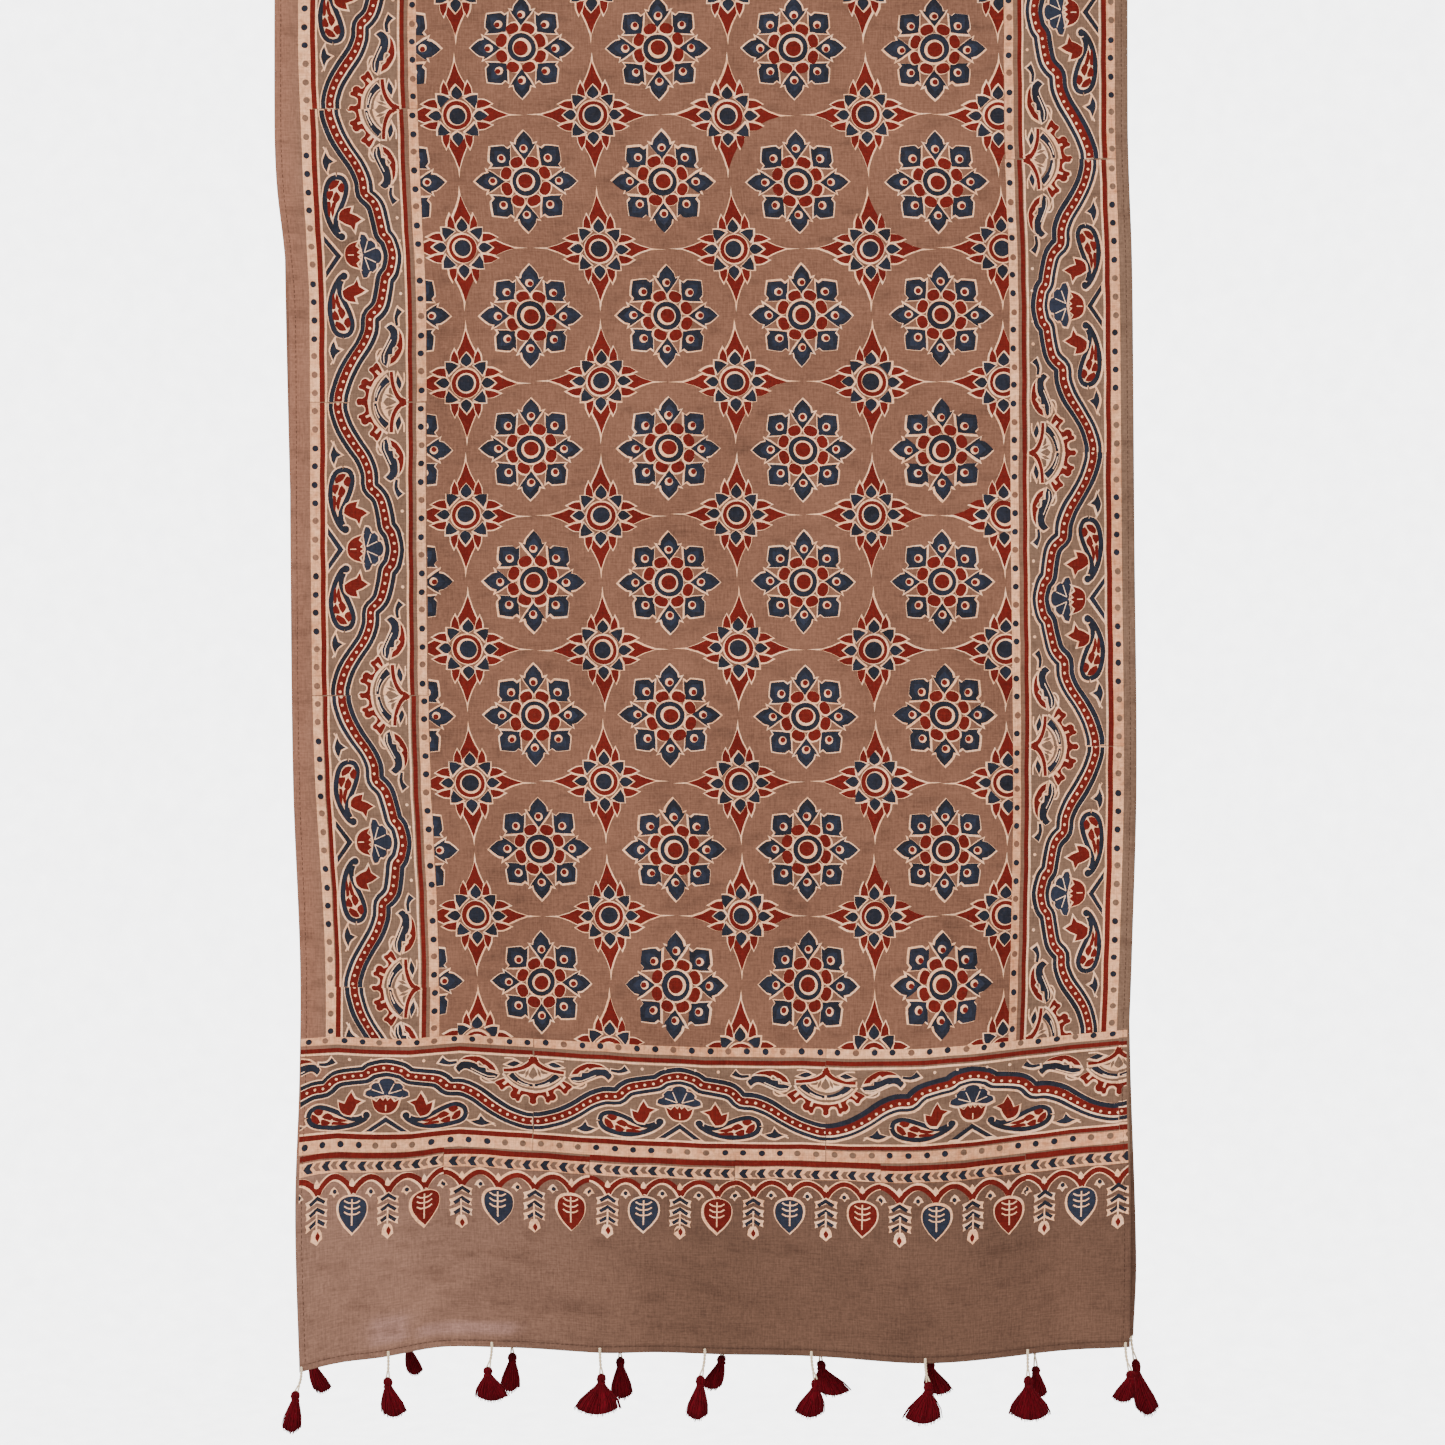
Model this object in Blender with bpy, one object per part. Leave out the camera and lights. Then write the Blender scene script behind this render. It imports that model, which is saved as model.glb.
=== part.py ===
"""A block-printed ajrakh stole, hung doubled, with a row of thread tassels on each end hem.

One length of cotton hangs over a line that is not part of the object: a front fall, a round fold at the
top and a back fall, a little apart. Metres, +Z up. The front faces -Y and +X is to the right as seen from
the front. The origin is the middle of the fold's underside, where the line bears.
"""

import math

import bmesh
import bpy
from mathutils import Vector

# Cloth
CLOTH_THICK = 0.0012
HEM_THICK = 0.0018
HEM_DEPTH = 0.006
HEM_STEP = 0.002
FOLD_RADIUS = 0.0130
FRONT_FALL = 1.000
BACK_FALL = 0.9985
FOLD_LENGTH = math.pi * FOLD_RADIUS
CLOTH_LENGTH = FRONT_FALL + FOLD_LENGTH + BACK_FALL

# How finely the cloth is divided
COLUMNS = 24
FALL_ROWS = 24
FOLD_ROWS = 8

# Thread loops and tassels
THREAD_WIDTH = 0.0018
THREAD_RINGS = 5
THREAD_SWING = (0.25, 0.75)
SEAT_GAP = 0.0003
LOCKS = 12
HEAD_WIDTH = 0.0056
HEAD_DEPTH = 0.0075
TASSEL_FLATNESS = 0.42
LEAST_HALF_DEPTH = 0.0030

# The side edges of each fall: drop below the fold, left edge, right edge
FRONT_EDGES = [
    (0.000, -0.2810, 0.2790),
    (0.207, -0.2815, 0.2790),
    (0.247, -0.2800, 0.2800),
    (0.286, -0.2755, 0.2815),
    (0.325, -0.2722, 0.2822),
    (0.480, -0.2712, 0.2833),
    (0.640, -0.2695, 0.2845),
    (0.758, -0.2650, 0.2812),
    (0.837, -0.2655, 0.2790),
    (0.916, -0.2683, 0.2805),
    (1.013, -0.2655, 0.2798),
]
BACK_EDGES = [
    (0.000, -0.2810, 0.2790),
    (0.300, -0.2785, 0.2805),
    (0.600, -0.2715, 0.2845),
    (0.800, -0.2680, 0.2840),
    (0.960, -0.2650, 0.2885),
    (1.012, -0.2640, 0.2865),
]

# How far the cloth hangs lower than level: place across, at the end border, at the hem
FRONT_SAG = [
    (-0.2657, -0.0020, 0.0145),
    (-0.2380, -0.0020, 0.0072),
    (-0.2120, -0.0020, 0.0033),
    (-0.1725, -0.0020, -0.0040),
    (-0.1330, -0.0010, -0.0026),
    (-0.0676, 0.0013, 0.0007),
    (-0.0280, 0.0033, -0.0005),
    (0.0243, 0.0065, 0.0020),
    (0.0830, 0.0075, 0.0040),
    (0.1420, 0.0055, 0.0066),
    (0.1950, 0.0015, 0.0040),
    (0.2470, -0.0040, -0.0013),
    (0.2840, -0.0080, -0.0040),
]
BACK_SAG = [
    (-0.2650, 0.0010, 0.0000),
    (-0.2000, 0.0000, -0.0055),
    (-0.1300, 0.0000, -0.0030),
    (0.0000, 0.0020, 0.0005),
    (0.1500, 0.0010, 0.0010),
    (0.2860, -0.0020, -0.0030),
]
LEVEL_DROP = 0.740
BORDER_DROP = 0.830
HEM_DROP = 1.000

# Soft upright folds: place at the top, place at the hem, half breadth, stand-out at the hem, start drop
FRONT_FOLDS = [
    (-0.264, -0.262, 0.022, -0.0030, 0.10),
    (-0.190, -0.185, 0.042, 0.0055, 0.14),
    (-0.105, -0.110, 0.036, -0.0028, 0.30),
    (-0.030, -0.022, 0.048, 0.0045, 0.22),
    (0.062, 0.058, 0.036, -0.0028, 0.26),
    (0.140, 0.150, 0.044, 0.0055, 0.12),
    (0.215, 0.222, 0.032, -0.0026, 0.30),
    (0.272, 0.276, 0.024, 0.0036, 0.16),
]
BACK_FOLDS = [
    (-0.215, -0.225, 0.050, 0.0050, 0.12),
    (-0.110, -0.120, 0.044, -0.0028, 0.25),
    (0.010, 0.000, 0.052, 0.0048, 0.18),
    (0.110, 0.120, 0.042, -0.0028, 0.28),
    (0.215, 0.220, 0.048, 0.0046, 0.12),
]

# Tassels: place on the hem, thread drop, sideways swing of the head, length, half width, skirt's lean
FRONT_TASSELS = [
    (-0.2640, 0.0125, -0.0040, 0.0285, 0.0062, -0.0026),
    (-0.2060, 0.0138, -0.0006, 0.0272, 0.0078, 0.0042),
    (-0.1386, 0.0130, -0.0028, 0.0230, 0.0108, 0.0030),
    (-0.0676, 0.0136, 0.0010, 0.0275, 0.0150, -0.0028),
    (0.0012, 0.0142, -0.0028, 0.0305, 0.0070, -0.0024),
    (0.0712, 0.0150, 0.0030, 0.0262, 0.0094, -0.0040),
    (0.1455, 0.0120, 0.0022, 0.0285, 0.0124, -0.0040),
    (0.2133, 0.0142, 0.0004, 0.0300, 0.0134, 0.0010),
    (0.2768, 0.0152, 0.0036, 0.0215, 0.0070, -0.0052),
]
BACK_TASSELS = [
    (-0.2633, 0.0115, 0.0020, 0.0250, 0.0058, 0.0072),
    (-0.1979, 0.0095, 0.0016, 0.0205, 0.0050, 0.0040),
    (-0.1275, 0.0105, 0.0006, 0.0270, 0.0062, -0.0016),
    (-0.0560, 0.0120, 0.0008, 0.0290, 0.0070, 0.0010),
    (0.0130, 0.0100, -0.0006, 0.0240, 0.0064, -0.0066),
    (0.0777, 0.0120, 0.0006, 0.0240, 0.0116, 0.0080),
    (0.1497, 0.0120, 0.0012, 0.0235, 0.0088, 0.0060),
    (0.2209, 0.0190, 0.0010, 0.0215, 0.0054, 0.0020),
    (0.2850, 0.0155, 0.0030, 0.0392, 0.0074, 0.0078),
]

# Colours and roughness
TAN = (0.34, 0.20, 0.145)
CREAM = (0.82, 0.68, 0.50)
MAROON = (0.16, 0.006, 0.020)
CLOTH_ROUGHNESS = 0.88
THREAD_ROUGHNESS = 0.75
TASSEL_ROUGHNESS = 0.8


def clear_scene():
    for old in list(bpy.data.objects):
        bpy.data.objects.remove(old)


def make_material(name, colour, roughness):
    material = bpy.data.materials.new(name)
    material.use_nodes = True
    shader = material.node_tree.nodes["Principled BSDF"]
    shader.inputs["Base Color"].default_value = (*colour, 1.0)
    shader.inputs["Roughness"].default_value = roughness
    shader.inputs["Metallic"].default_value = 0.0
    return material


def add_object(name, data, material):
    data.materials.append(material)
    made = bpy.data.objects.new(name, data)
    bpy.context.scene.collection.objects.link(made)
    return made


def eased(value, start, end):
    """0 before start, 1 after end, and a smooth step between."""
    share = min(1.0, max(0.0, (value - start) / (end - start)))
    return share * share * (3.0 - 2.0 * share)


def slope_at(table, row, column):
    """The slope of a column at a row, from the rows on both sides of it."""
    before = table[max(row - 1, 0)]
    after = table[min(row + 1, len(table) - 1)]
    return (after[column] - before[column]) / (after[0] - before[0])


def read_table(table, at, column):
    """A column's value where the first column would be at, on a smooth curve through the rows."""
    at = min(table[-1][0], max(table[0][0], at))
    row = 0
    while row < len(table) - 2 and table[row + 1][0] < at:
        row += 1
    low, high = table[row], table[row + 1]
    span = high[0] - low[0]
    t = (at - low[0]) / span
    return (
        (2 * t**3 - 3 * t**2 + 1) * low[column]
        + (t**3 - 2 * t**2 + t) * span * slope_at(table, row, column)
        + (3 * t**2 - 2 * t**3) * high[column]
        + (t**3 - t**2) * span * slope_at(table, row + 1, column)
    )


def sag(table, x, drop):
    """How far the cloth hangs below level at a place: none above LEVEL_DROP, then the table's two columns."""
    at_border = read_table(table, x, 1)
    at_hem = read_table(table, x, 2)
    below = eased(drop, BORDER_DROP, HEM_DROP)
    return eased(drop, LEVEL_DROP, BORDER_DROP) * (at_border + (at_hem - at_border) * below)


def stand_out(folds, x, drop):
    """How far the soft upright folds push the cloth away from the other fall."""
    total = 0.0
    for top_x, hem_x, half_breadth, height, start in folds:
        down = eased(drop, start, HEM_DROP)
        middle = top_x + (hem_x - top_x) * drop / HEM_DROP
        total += height * down * math.exp(-(((x - middle) / half_breadth) ** 2))
    return total


def fall_point(across, drop, front):
    """A point of the cloth's middle surface on a fall. across runs 0 to 1 from left to right."""
    edges, folds, sags, side = (
        (FRONT_EDGES, FRONT_FOLDS, FRONT_SAG, -1) if front else (BACK_EDGES, BACK_FOLDS, BACK_SAG, 1)
    )
    left = read_table(edges, drop, 1)
    right = read_table(edges, drop, 2)
    x = left + across * (right - left)
    y = side * (FOLD_RADIUS + stand_out(folds, x, drop))
    return Vector((x, y, CLOTH_THICK / 2 - drop - sag(sags, x, drop)))


def cloth_point(across, along):
    """A point of the middle surface. along is the distance from the front hem, over the fold."""
    if along < FRONT_FALL:
        return fall_point(across, FOLD_RADIUS + FRONT_FALL - along, True)
    if along > FRONT_FALL + FOLD_LENGTH:
        return fall_point(across, FOLD_RADIUS + along - FRONT_FALL - FOLD_LENGTH, False)
    turn = (along - FRONT_FALL) / FOLD_RADIUS
    drop = FOLD_RADIUS * (1.0 - math.sin(turn))
    point = fall_point(across, drop, turn < math.pi / 2)
    point.y = -FOLD_RADIUS * math.cos(turn)
    return point


def cloth_rows():
    """Distances from the front hem at which the cloth has a row of points."""
    hem = [0.0, HEM_DEPTH, HEM_DEPTH + HEM_STEP]
    front = [hem[-1] + (FRONT_FALL - hem[-1]) * (i + 1) / FALL_ROWS for i in range(FALL_ROWS)]
    fold = [FRONT_FALL + FOLD_LENGTH * (i + 1) / FOLD_ROWS for i in range(FOLD_ROWS)]
    back_length = BACK_FALL - hem[-1]
    back = [fold[-1] + back_length * (i + 1) / FALL_ROWS for i in range(FALL_ROWS)]
    last_hem = [CLOTH_LENGTH - HEM_DEPTH, CLOTH_LENGTH]
    return hem + front + fold + back + last_hem


def make_cloth(material):
    """The whole length as one sheet, thickened both ways, with thicker turned hems at its two ends."""
    rows = cloth_rows()
    bm = bmesh.new()
    grid = [
        [bm.verts.new(cloth_point(column / COLUMNS, along)) for column in range(COLUMNS + 1)]
        for along in rows
    ]
    for lower, upper in zip(grid, grid[1:]):
        for column in range(COLUMNS):
            corners = (lower[column], lower[column + 1], upper[column + 1], upper[column])
            bm.faces.new(corners).smooth = True
    mesh = bpy.data.meshes.new("cloth")
    bm.to_mesh(mesh)
    bm.free()
    cloth = add_object("cloth", mesh, material)
    hems = cloth.vertex_groups.new(name="hems")
    width = COLUMNS + 1
    for row, along in enumerate(rows):
        if min(along, CLOTH_LENGTH - along) <= HEM_DEPTH + 1e-6:
            hems.add(range(row * width, (row + 1) * width), 1.0, "REPLACE")
    sheet = cloth.modifiers.new("thickness", "SOLIDIFY")
    sheet.thickness = HEM_THICK
    sheet.offset = 0.0
    sheet.vertex_group = hems.name
    sheet.thickness_vertex_group = CLOTH_THICK / HEM_THICK
    return cloth


def hem_point(x, front):
    """The middle of the hem's lower edge at a place across, or the edge's end for a place beyond it."""
    along = 0.0 if front else CLOTH_LENGTH
    points = [cloth_point(column / COLUMNS, along) for column in range(COLUMNS + 1)]
    x = min(points[-1].x, max(points[0].x, x))
    low, high = next(pair for pair in zip(points, points[1:]) if x <= pair[1].x)
    return low.lerp(high, (x - low.x) / (high.x - low.x))


def thread_top(x, front):
    """The middle of a thread's flat top, SEAT_GAP below the lowest of the hem's edge across its width."""
    top = hem_point(x, front)
    beside = [hem_point(x + side * THREAD_WIDTH / 2, front).z for side in (-1, 1)]
    top.z = min(top.z, *beside) - SEAT_GAP
    return top


def make_thread(name, top, bottom, material):
    """A thread loop drawn down by its tassel: upright at both ends, swinging over between them."""
    curve = bpy.data.curves.new(name, "CURVE")
    curve.dimensions = "3D"
    curve.bevel_depth = THREAD_WIDTH / 2
    curve.bevel_resolution = 2
    curve.use_fill_caps = True
    spline = curve.splines.new("POLY")
    spline.points.add(THREAD_RINGS - 1)
    for i, point in enumerate(spline.points):
        share = i / (THREAD_RINGS - 1)
        place = top.lerp(bottom, share)
        place.x = top.x + (bottom.x - top.x) * eased(share, *THREAD_SWING)
        point.co = (*place, 1.0)
    return add_object(name, curve, material)


# The head above the skirt: share of the head's depth, share of its half width
HEAD_PROFILE = [(0.0, 0.36), (0.22, 0.86), (0.50, 1.0), (0.80, 0.72), (1.0, 0.92)]
# The skirt below the head: share of its length, how far it has spread, gap between the locks
SKIRT_LEVELS = [(0.5, 0.42, 0.16), (1.0, 1.0, 0.24)]
INNER_SHARE = 0.22


def tassel_place(head, along, out_x, out_y, swing):
    """A point of a tassel: its spread, swung sideways by its lean, which grows towards the tips."""
    return head + Vector((out_x + swing, out_y, -along))


def make_tassel(name, head, length, half_width, lean, material):
    """A tied head over a flattened fan of three-sided locks, whose roots are fused to the head."""
    bm = bmesh.new()
    half_depth = max(LEAST_HALF_DEPTH, half_width * TASSEL_FLATNESS)
    angles = [2 * math.pi * i / LOCKS for i in range(LOCKS)]
    rings = []
    for depth_share, width_share in HEAD_PROFILE:
        radius = width_share * HEAD_WIDTH / 2
        rings.append(
            [
                bm.verts.new(
                    tassel_place(
                        head, depth_share * HEAD_DEPTH, radius * math.cos(a), radius * math.sin(a), 0.0
                    )
                )
                for a in angles
            ]
        )
    bm.faces.new(rings[0])
    for upper, lower in zip(rings, rings[1:]):
        for i in range(LOCKS):
            j = (i + 1) % LOCKS
            bm.faces.new((upper[i], lower[i], lower[j], upper[j]))
    centre = bm.verts.new(tassel_place(head, HEAD_DEPTH, 0.0, 0.0, 0.0))
    skirt = length - HEAD_DEPTH
    root_radius = HEAD_PROFILE[-1][1] * HEAD_WIDTH / 2
    for i in range(LOCKS):
        middle = angles[i] + math.pi / LOCKS
        uneven = 0.94 + 0.06 * math.sin(2.4 * i + 40.0 * head.x)
        before = (centre, rings[-1][i], rings[-1][(i + 1) % LOCKS])
        for share, spread, gap in SKIRT_LEVELS:
            reach_x = root_radius + (half_width - root_radius) * spread
            reach_y = root_radius + (half_depth - root_radius) * spread
            along = HEAD_DEPTH + skirt * share * uneven
            along -= 0.16 * skirt * share * spread * math.cos(middle) ** 2
            half_turn = (1.0 - gap) * math.pi / LOCKS
            swing = lean * share**1.5
            corners = [(INNER_SHARE, middle), (1.0, middle - half_turn), (1.0, middle + half_turn)]
            ring = [
                bm.verts.new(
                    tassel_place(
                        head, along, reach_x * out * math.cos(a), reach_y * out * math.sin(a), swing
                    )
                )
                for out, a in corners
            ]
            for k in range(3):
                m = (k + 1) % 3
                bm.faces.new((before[k], ring[k], ring[m], before[m]))
            before = ring
        bm.faces.new(before)
    bmesh.ops.recalc_face_normals(bm, faces=bm.faces)
    mesh = bpy.data.meshes.new(name)
    bm.to_mesh(mesh)
    bm.free()
    return add_object(name, mesh, material)


def make_fringe(side, table, front, thread_material, tassel_material):
    """Each row of the table as a thread loop and the tassel that hangs on it."""
    for number, (x, thread_drop, swing, length, half_width, lean) in enumerate(table, start=1):
        hem = hem_point(x, front)
        head = hem + Vector((swing, 0.0, -thread_drop))
        bottom = head + Vector((0.0, 0.0, SEAT_GAP))
        make_thread(f"thread_{side}_{number}", thread_top(x, front), bottom, thread_material)
        make_tassel(f"tassel_{side}_{number}", head, length, half_width, lean, tassel_material)


def main():
    clear_scene()
    cloth_material = make_material("printed_cotton", TAN, CLOTH_ROUGHNESS)
    thread_material = make_material("cream_thread", CREAM, THREAD_ROUGHNESS)
    tassel_material = make_material("maroon_yarn", MAROON, TASSEL_ROUGHNESS)
    make_cloth(cloth_material)
    make_fringe("front", FRONT_TASSELS, True, thread_material, tassel_material)
    make_fringe("back", BACK_TASSELS, False, thread_material, tassel_material)


main()
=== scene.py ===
"""The looks of the ajrakh stole: block-printed cotton, stitched hems, thread loops and yarn tassels.

The frame is in metres: the front faces -Y and the origin is the middle of the fold's underside. Places on
the cloth itself are flat places in millimetres, (across, along): across from its left edge as seen from the
front, along from the front hem, up the front fall, over the fold and down to the back hem.
"""

import math
import random

import bpy
import numpy as np
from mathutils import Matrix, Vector
from mathutils.geometry import delaunay_2d_cdt


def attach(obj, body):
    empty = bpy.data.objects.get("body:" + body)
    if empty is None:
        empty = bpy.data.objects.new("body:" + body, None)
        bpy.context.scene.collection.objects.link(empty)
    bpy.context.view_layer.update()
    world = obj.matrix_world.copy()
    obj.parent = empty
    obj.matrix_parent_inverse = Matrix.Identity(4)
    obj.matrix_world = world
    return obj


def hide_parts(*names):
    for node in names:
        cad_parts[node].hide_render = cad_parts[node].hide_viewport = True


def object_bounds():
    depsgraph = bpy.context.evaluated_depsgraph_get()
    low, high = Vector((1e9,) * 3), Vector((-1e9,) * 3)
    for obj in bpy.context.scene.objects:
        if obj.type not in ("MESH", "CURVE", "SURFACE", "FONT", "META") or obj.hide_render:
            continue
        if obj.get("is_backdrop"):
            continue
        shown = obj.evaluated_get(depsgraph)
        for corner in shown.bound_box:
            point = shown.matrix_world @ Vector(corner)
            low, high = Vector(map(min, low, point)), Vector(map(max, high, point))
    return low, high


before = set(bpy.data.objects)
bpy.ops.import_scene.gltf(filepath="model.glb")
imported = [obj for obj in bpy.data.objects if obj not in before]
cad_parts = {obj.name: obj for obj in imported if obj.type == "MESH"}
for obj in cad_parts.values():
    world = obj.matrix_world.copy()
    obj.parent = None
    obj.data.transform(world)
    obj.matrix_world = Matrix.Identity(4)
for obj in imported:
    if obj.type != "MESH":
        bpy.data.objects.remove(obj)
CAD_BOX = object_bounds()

MM = 0.001

# The cloth as the CAD source has it, in metres
CLOTH_THICK = 0.0012
FOLD_RADIUS = 0.0130
FRONT_FALL = 1.000
BACK_FALL = 0.9985
FOLD_LENGTH = math.pi * FOLD_RADIUS
HEM_DROP = 1.000
LEVEL_DROP = 0.740
BORDER_DROP = 0.830
# The side edges of each fall: drop below the fold, left edge, right edge
FRONT_EDGES = [
    (0.000, -0.2810, 0.2790),
    (0.207, -0.2815, 0.2790),
    (0.247, -0.2800, 0.2800),
    (0.286, -0.2755, 0.2815),
    (0.325, -0.2722, 0.2822),
    (0.480, -0.2712, 0.2833),
    (0.640, -0.2695, 0.2845),
    (0.758, -0.2650, 0.2812),
    (0.837, -0.2655, 0.2790),
    (0.916, -0.2683, 0.2805),
    (1.013, -0.2655, 0.2798),
]
BACK_EDGES = [
    (0.000, -0.2810, 0.2790),
    (0.300, -0.2785, 0.2805),
    (0.600, -0.2715, 0.2845),
    (0.800, -0.2680, 0.2840),
    (0.960, -0.2650, 0.2885),
    (1.012, -0.2640, 0.2865),
]
# How far the cloth hangs lower than level: place across, at the end border, at the hem
FRONT_SAG = [
    (-0.2657, -0.0020, 0.0145),
    (-0.2380, -0.0020, 0.0072),
    (-0.2120, -0.0020, 0.0033),
    (-0.1725, -0.0020, -0.0040),
    (-0.1330, -0.0010, -0.0026),
    (-0.0676, 0.0013, 0.0007),
    (-0.0280, 0.0033, -0.0005),
    (0.0243, 0.0065, 0.0020),
    (0.0830, 0.0075, 0.0040),
    (0.1420, 0.0055, 0.0066),
    (0.1950, 0.0015, 0.0040),
    (0.2470, -0.0040, -0.0013),
    (0.2840, -0.0080, -0.0040),
]
BACK_SAG = [
    (-0.2650, 0.0010, 0.0000),
    (-0.2000, 0.0000, -0.0055),
    (-0.1300, 0.0000, -0.0030),
    (0.0000, 0.0020, 0.0005),
    (0.1500, 0.0010, 0.0010),
    (0.2860, -0.0020, -0.0030),
]
# Soft upright folds: place at the top, place at the hem, half breadth, stand-out at the hem, start drop
FRONT_FOLDS = [
    (-0.264, -0.262, 0.022, -0.0030, 0.10),
    (-0.190, -0.185, 0.042, 0.0055, 0.14),
    (-0.105, -0.110, 0.036, -0.0028, 0.30),
    (-0.030, -0.022, 0.048, 0.0045, 0.22),
    (0.062, 0.058, 0.036, -0.0028, 0.26),
    (0.140, 0.150, 0.044, 0.0055, 0.12),
    (0.215, 0.222, 0.032, -0.0026, 0.30),
    (0.272, 0.276, 0.024, 0.0036, 0.16),
]
BACK_FOLDS = [
    (-0.215, -0.225, 0.050, 0.0050, 0.12),
    (-0.110, -0.120, 0.044, -0.0028, 0.25),
    (0.010, 0.000, 0.052, 0.0048, 0.18),
    (0.110, 0.120, 0.042, -0.0028, 0.28),
    (0.215, 0.220, 0.048, 0.0046, 0.12),
]
# Tassels: place on the hem, thread drop, sideways swing of the head, length, half width, skirt's lean
FRONT_TASSELS = [
    (-0.2640, 0.0125, -0.0040, 0.0285, 0.0062, -0.0026),
    (-0.2060, 0.0138, -0.0006, 0.0272, 0.0078, 0.0042),
    (-0.1386, 0.0130, -0.0028, 0.0230, 0.0108, 0.0030),
    (-0.0676, 0.0136, 0.0010, 0.0275, 0.0150, -0.0028),
    (0.0012, 0.0142, -0.0028, 0.0305, 0.0070, -0.0024),
    (0.0712, 0.0150, 0.0030, 0.0262, 0.0094, -0.0040),
    (0.1455, 0.0120, 0.0022, 0.0285, 0.0124, -0.0040),
    (0.2133, 0.0142, 0.0004, 0.0300, 0.0134, 0.0010),
    (0.2768, 0.0152, 0.0036, 0.0215, 0.0070, -0.0052),
]
BACK_TASSELS = [
    (-0.2633, 0.0115, 0.0020, 0.0250, 0.0058, 0.0072),
    (-0.1979, 0.0095, 0.0016, 0.0205, 0.0050, 0.0040),
    (-0.1275, 0.0105, 0.0006, 0.0270, 0.0062, -0.0016),
    (-0.0560, 0.0120, 0.0008, 0.0290, 0.0070, 0.0010),
    (0.0130, 0.0100, -0.0006, 0.0240, 0.0064, -0.0066),
    (0.0777, 0.0120, 0.0006, 0.0240, 0.0116, 0.0080),
    (0.1497, 0.0120, 0.0012, 0.0235, 0.0088, 0.0060),
    (0.2209, 0.0190, 0.0010, 0.0215, 0.0054, 0.0020),
    (0.2850, 0.0155, 0.0030, 0.0392, 0.0074, 0.0078),
]

# The flat cloth, in millimetres
FLAT_WIDTH = 560.0
FLAT_LENGTH = (FRONT_FALL + FOLD_LENGTH + BACK_FALL) / MM
MIDDLE_ALONG = FLAT_LENGTH / 2
CELL = 8.0
FOLD_CELL = 2.0
# From an edge inwards: distance, height of the outer face above the middle surface
HEM_LEVELS = [(0.0, 0.10), (0.7, 0.52), (3.4, 0.58), (4.3, 0.36), (5.2, 0.52), (6.6, 0.30)]
SLAB_HALF = HEM_LEVELS[-1][1]
PRINT_LIFT = 0.09
# Faint level creases of the front fall: along, depth, half breadth, and where across they run from and to
LEVEL_CREASES = [
    (548.6, -0.70, 1.8, 110, 430),
    (464.6, 0.80, 2.0, 60, 520),
    (421.3, -0.70, 1.7, 130, 500),
    (395.7, 0.60, 1.8, 90, 470),
]
# Soft slanting creases above the front hem: from place, to place, depth, half breadth
SLANT_CREASES = [
    ((76, 15), (130, 52), 3.6, 7.0),
    ((130, 56), (196, 34), 3.2, 7.0),
    ((222, 54), (346, 17), -3.4, 8.0),
    ((262, 92), (388, 66), 2.4, 9.0),
    ((132, 26), (204, 25), -2.0, 4.5),
    ((408, 74), (408, 12), 3.0, 10.0),
    ((496, 78), (522, 20), -2.6, 9.0),
]
# Faded patches just above the front hem: left, low, right, high
FADED_PATCHES = [
    (48, 9, 76, 26),
    (82, 8, 148, 16),
]

# The print's layout on the flat cloth, in millimetres
END_BORDER_FOOT = 143.8
END_BORDER_TOP = 204.8
MEDALLION_COLUMNS = [78.0, 164.5, 254.0, 342.7, 433.5]
STAR_COLUMNS = [121.0, 209.8, 298.7, 388.0, 475.0]
FIRST_MEDALLION_ROW = 242.4
FIRST_STAR_ROW = 198.6
ROW_PITCH = 87.6
BLOCK_HALF = 96.0
BLOCK_LOW = -12.0
BLOCK_HIGH = 64.8
NARROWED = 0.945
LEFT_BORDER_FOOT = 30.8
RIGHT_BORDER_FOOT = 540.1
LEFT_SEAM, LEFT_REPEAT = 238.8, 192.3
RIGHT_SEAM, RIGHT_REPEAT = 204.8, 192.8
END_SEAM, END_REPEAT = -38.5, 197.2
BAND_START, BAND_REPEAT = 2.4, 97.6
BAND_LOW, BAND_TOP = 68.0, 131.0
CUSP_PITCH = BAND_REPEAT / 4
PRINT_LEFT, PRINT_RIGHT = 1.5, 558.5
FIELD_LEFT = LEFT_BORDER_FOOT + BLOCK_HIGH
FIELD_RIGHT = RIGHT_BORDER_FOOT - NARROWED * BLOCK_HIGH
# How far the stripes across each end ripple up: place across, rise
END_RIPPLE = [
    (0.0, -1.6),
    (25.0, 0.2),
    (75.0, -0.8),
    (106.0, 2.0),
    (155.0, 0.2),
    (230.0, -0.8),
    (330.0, 0.6),
    (430.0, -0.6),
    (560.0, 0.8),
]
# How far the print strays across at the left selvedge, less towards the right: place along, drift
PRINT_DRIFT = [
    (0.0, 0.0),
    (150.0, 0.0),
    (205.0, -1.0),
    (300.0, -2.0),
    (400.0, -4.6),
    (470.0, -5.2),
    (580.0, -5.4),
    (700.0, -4.8),
    (780.0, -1.0),
    (860.0, -3.2),
    (1000.0, -1.5),
    (1300.0, 1.5),
    (2040.0, 0.0),
]

# Each ink's printed piece and how light it is among that piece's shades, 0 to 1
INKS = {
    "peach": ("cream", 0.25),
    "cream": ("cream", 0.60),
    "frost": ("cream", 0.95),
    "red": ("red", 0.50),
    "dark": ("indigo", 0.20),
    "blue": ("indigo", 0.65),
    "ground": (None, 0.0),
}
SLIP = 0.45
WOBBLE = 0.22


def eased(value, start, end):
    """0 before start, 1 after end, and a smooth step between."""
    share = np.clip((value - start) / (end - start), 0.0, 1.0)
    return share * share * (3.0 - 2.0 * share)


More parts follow.
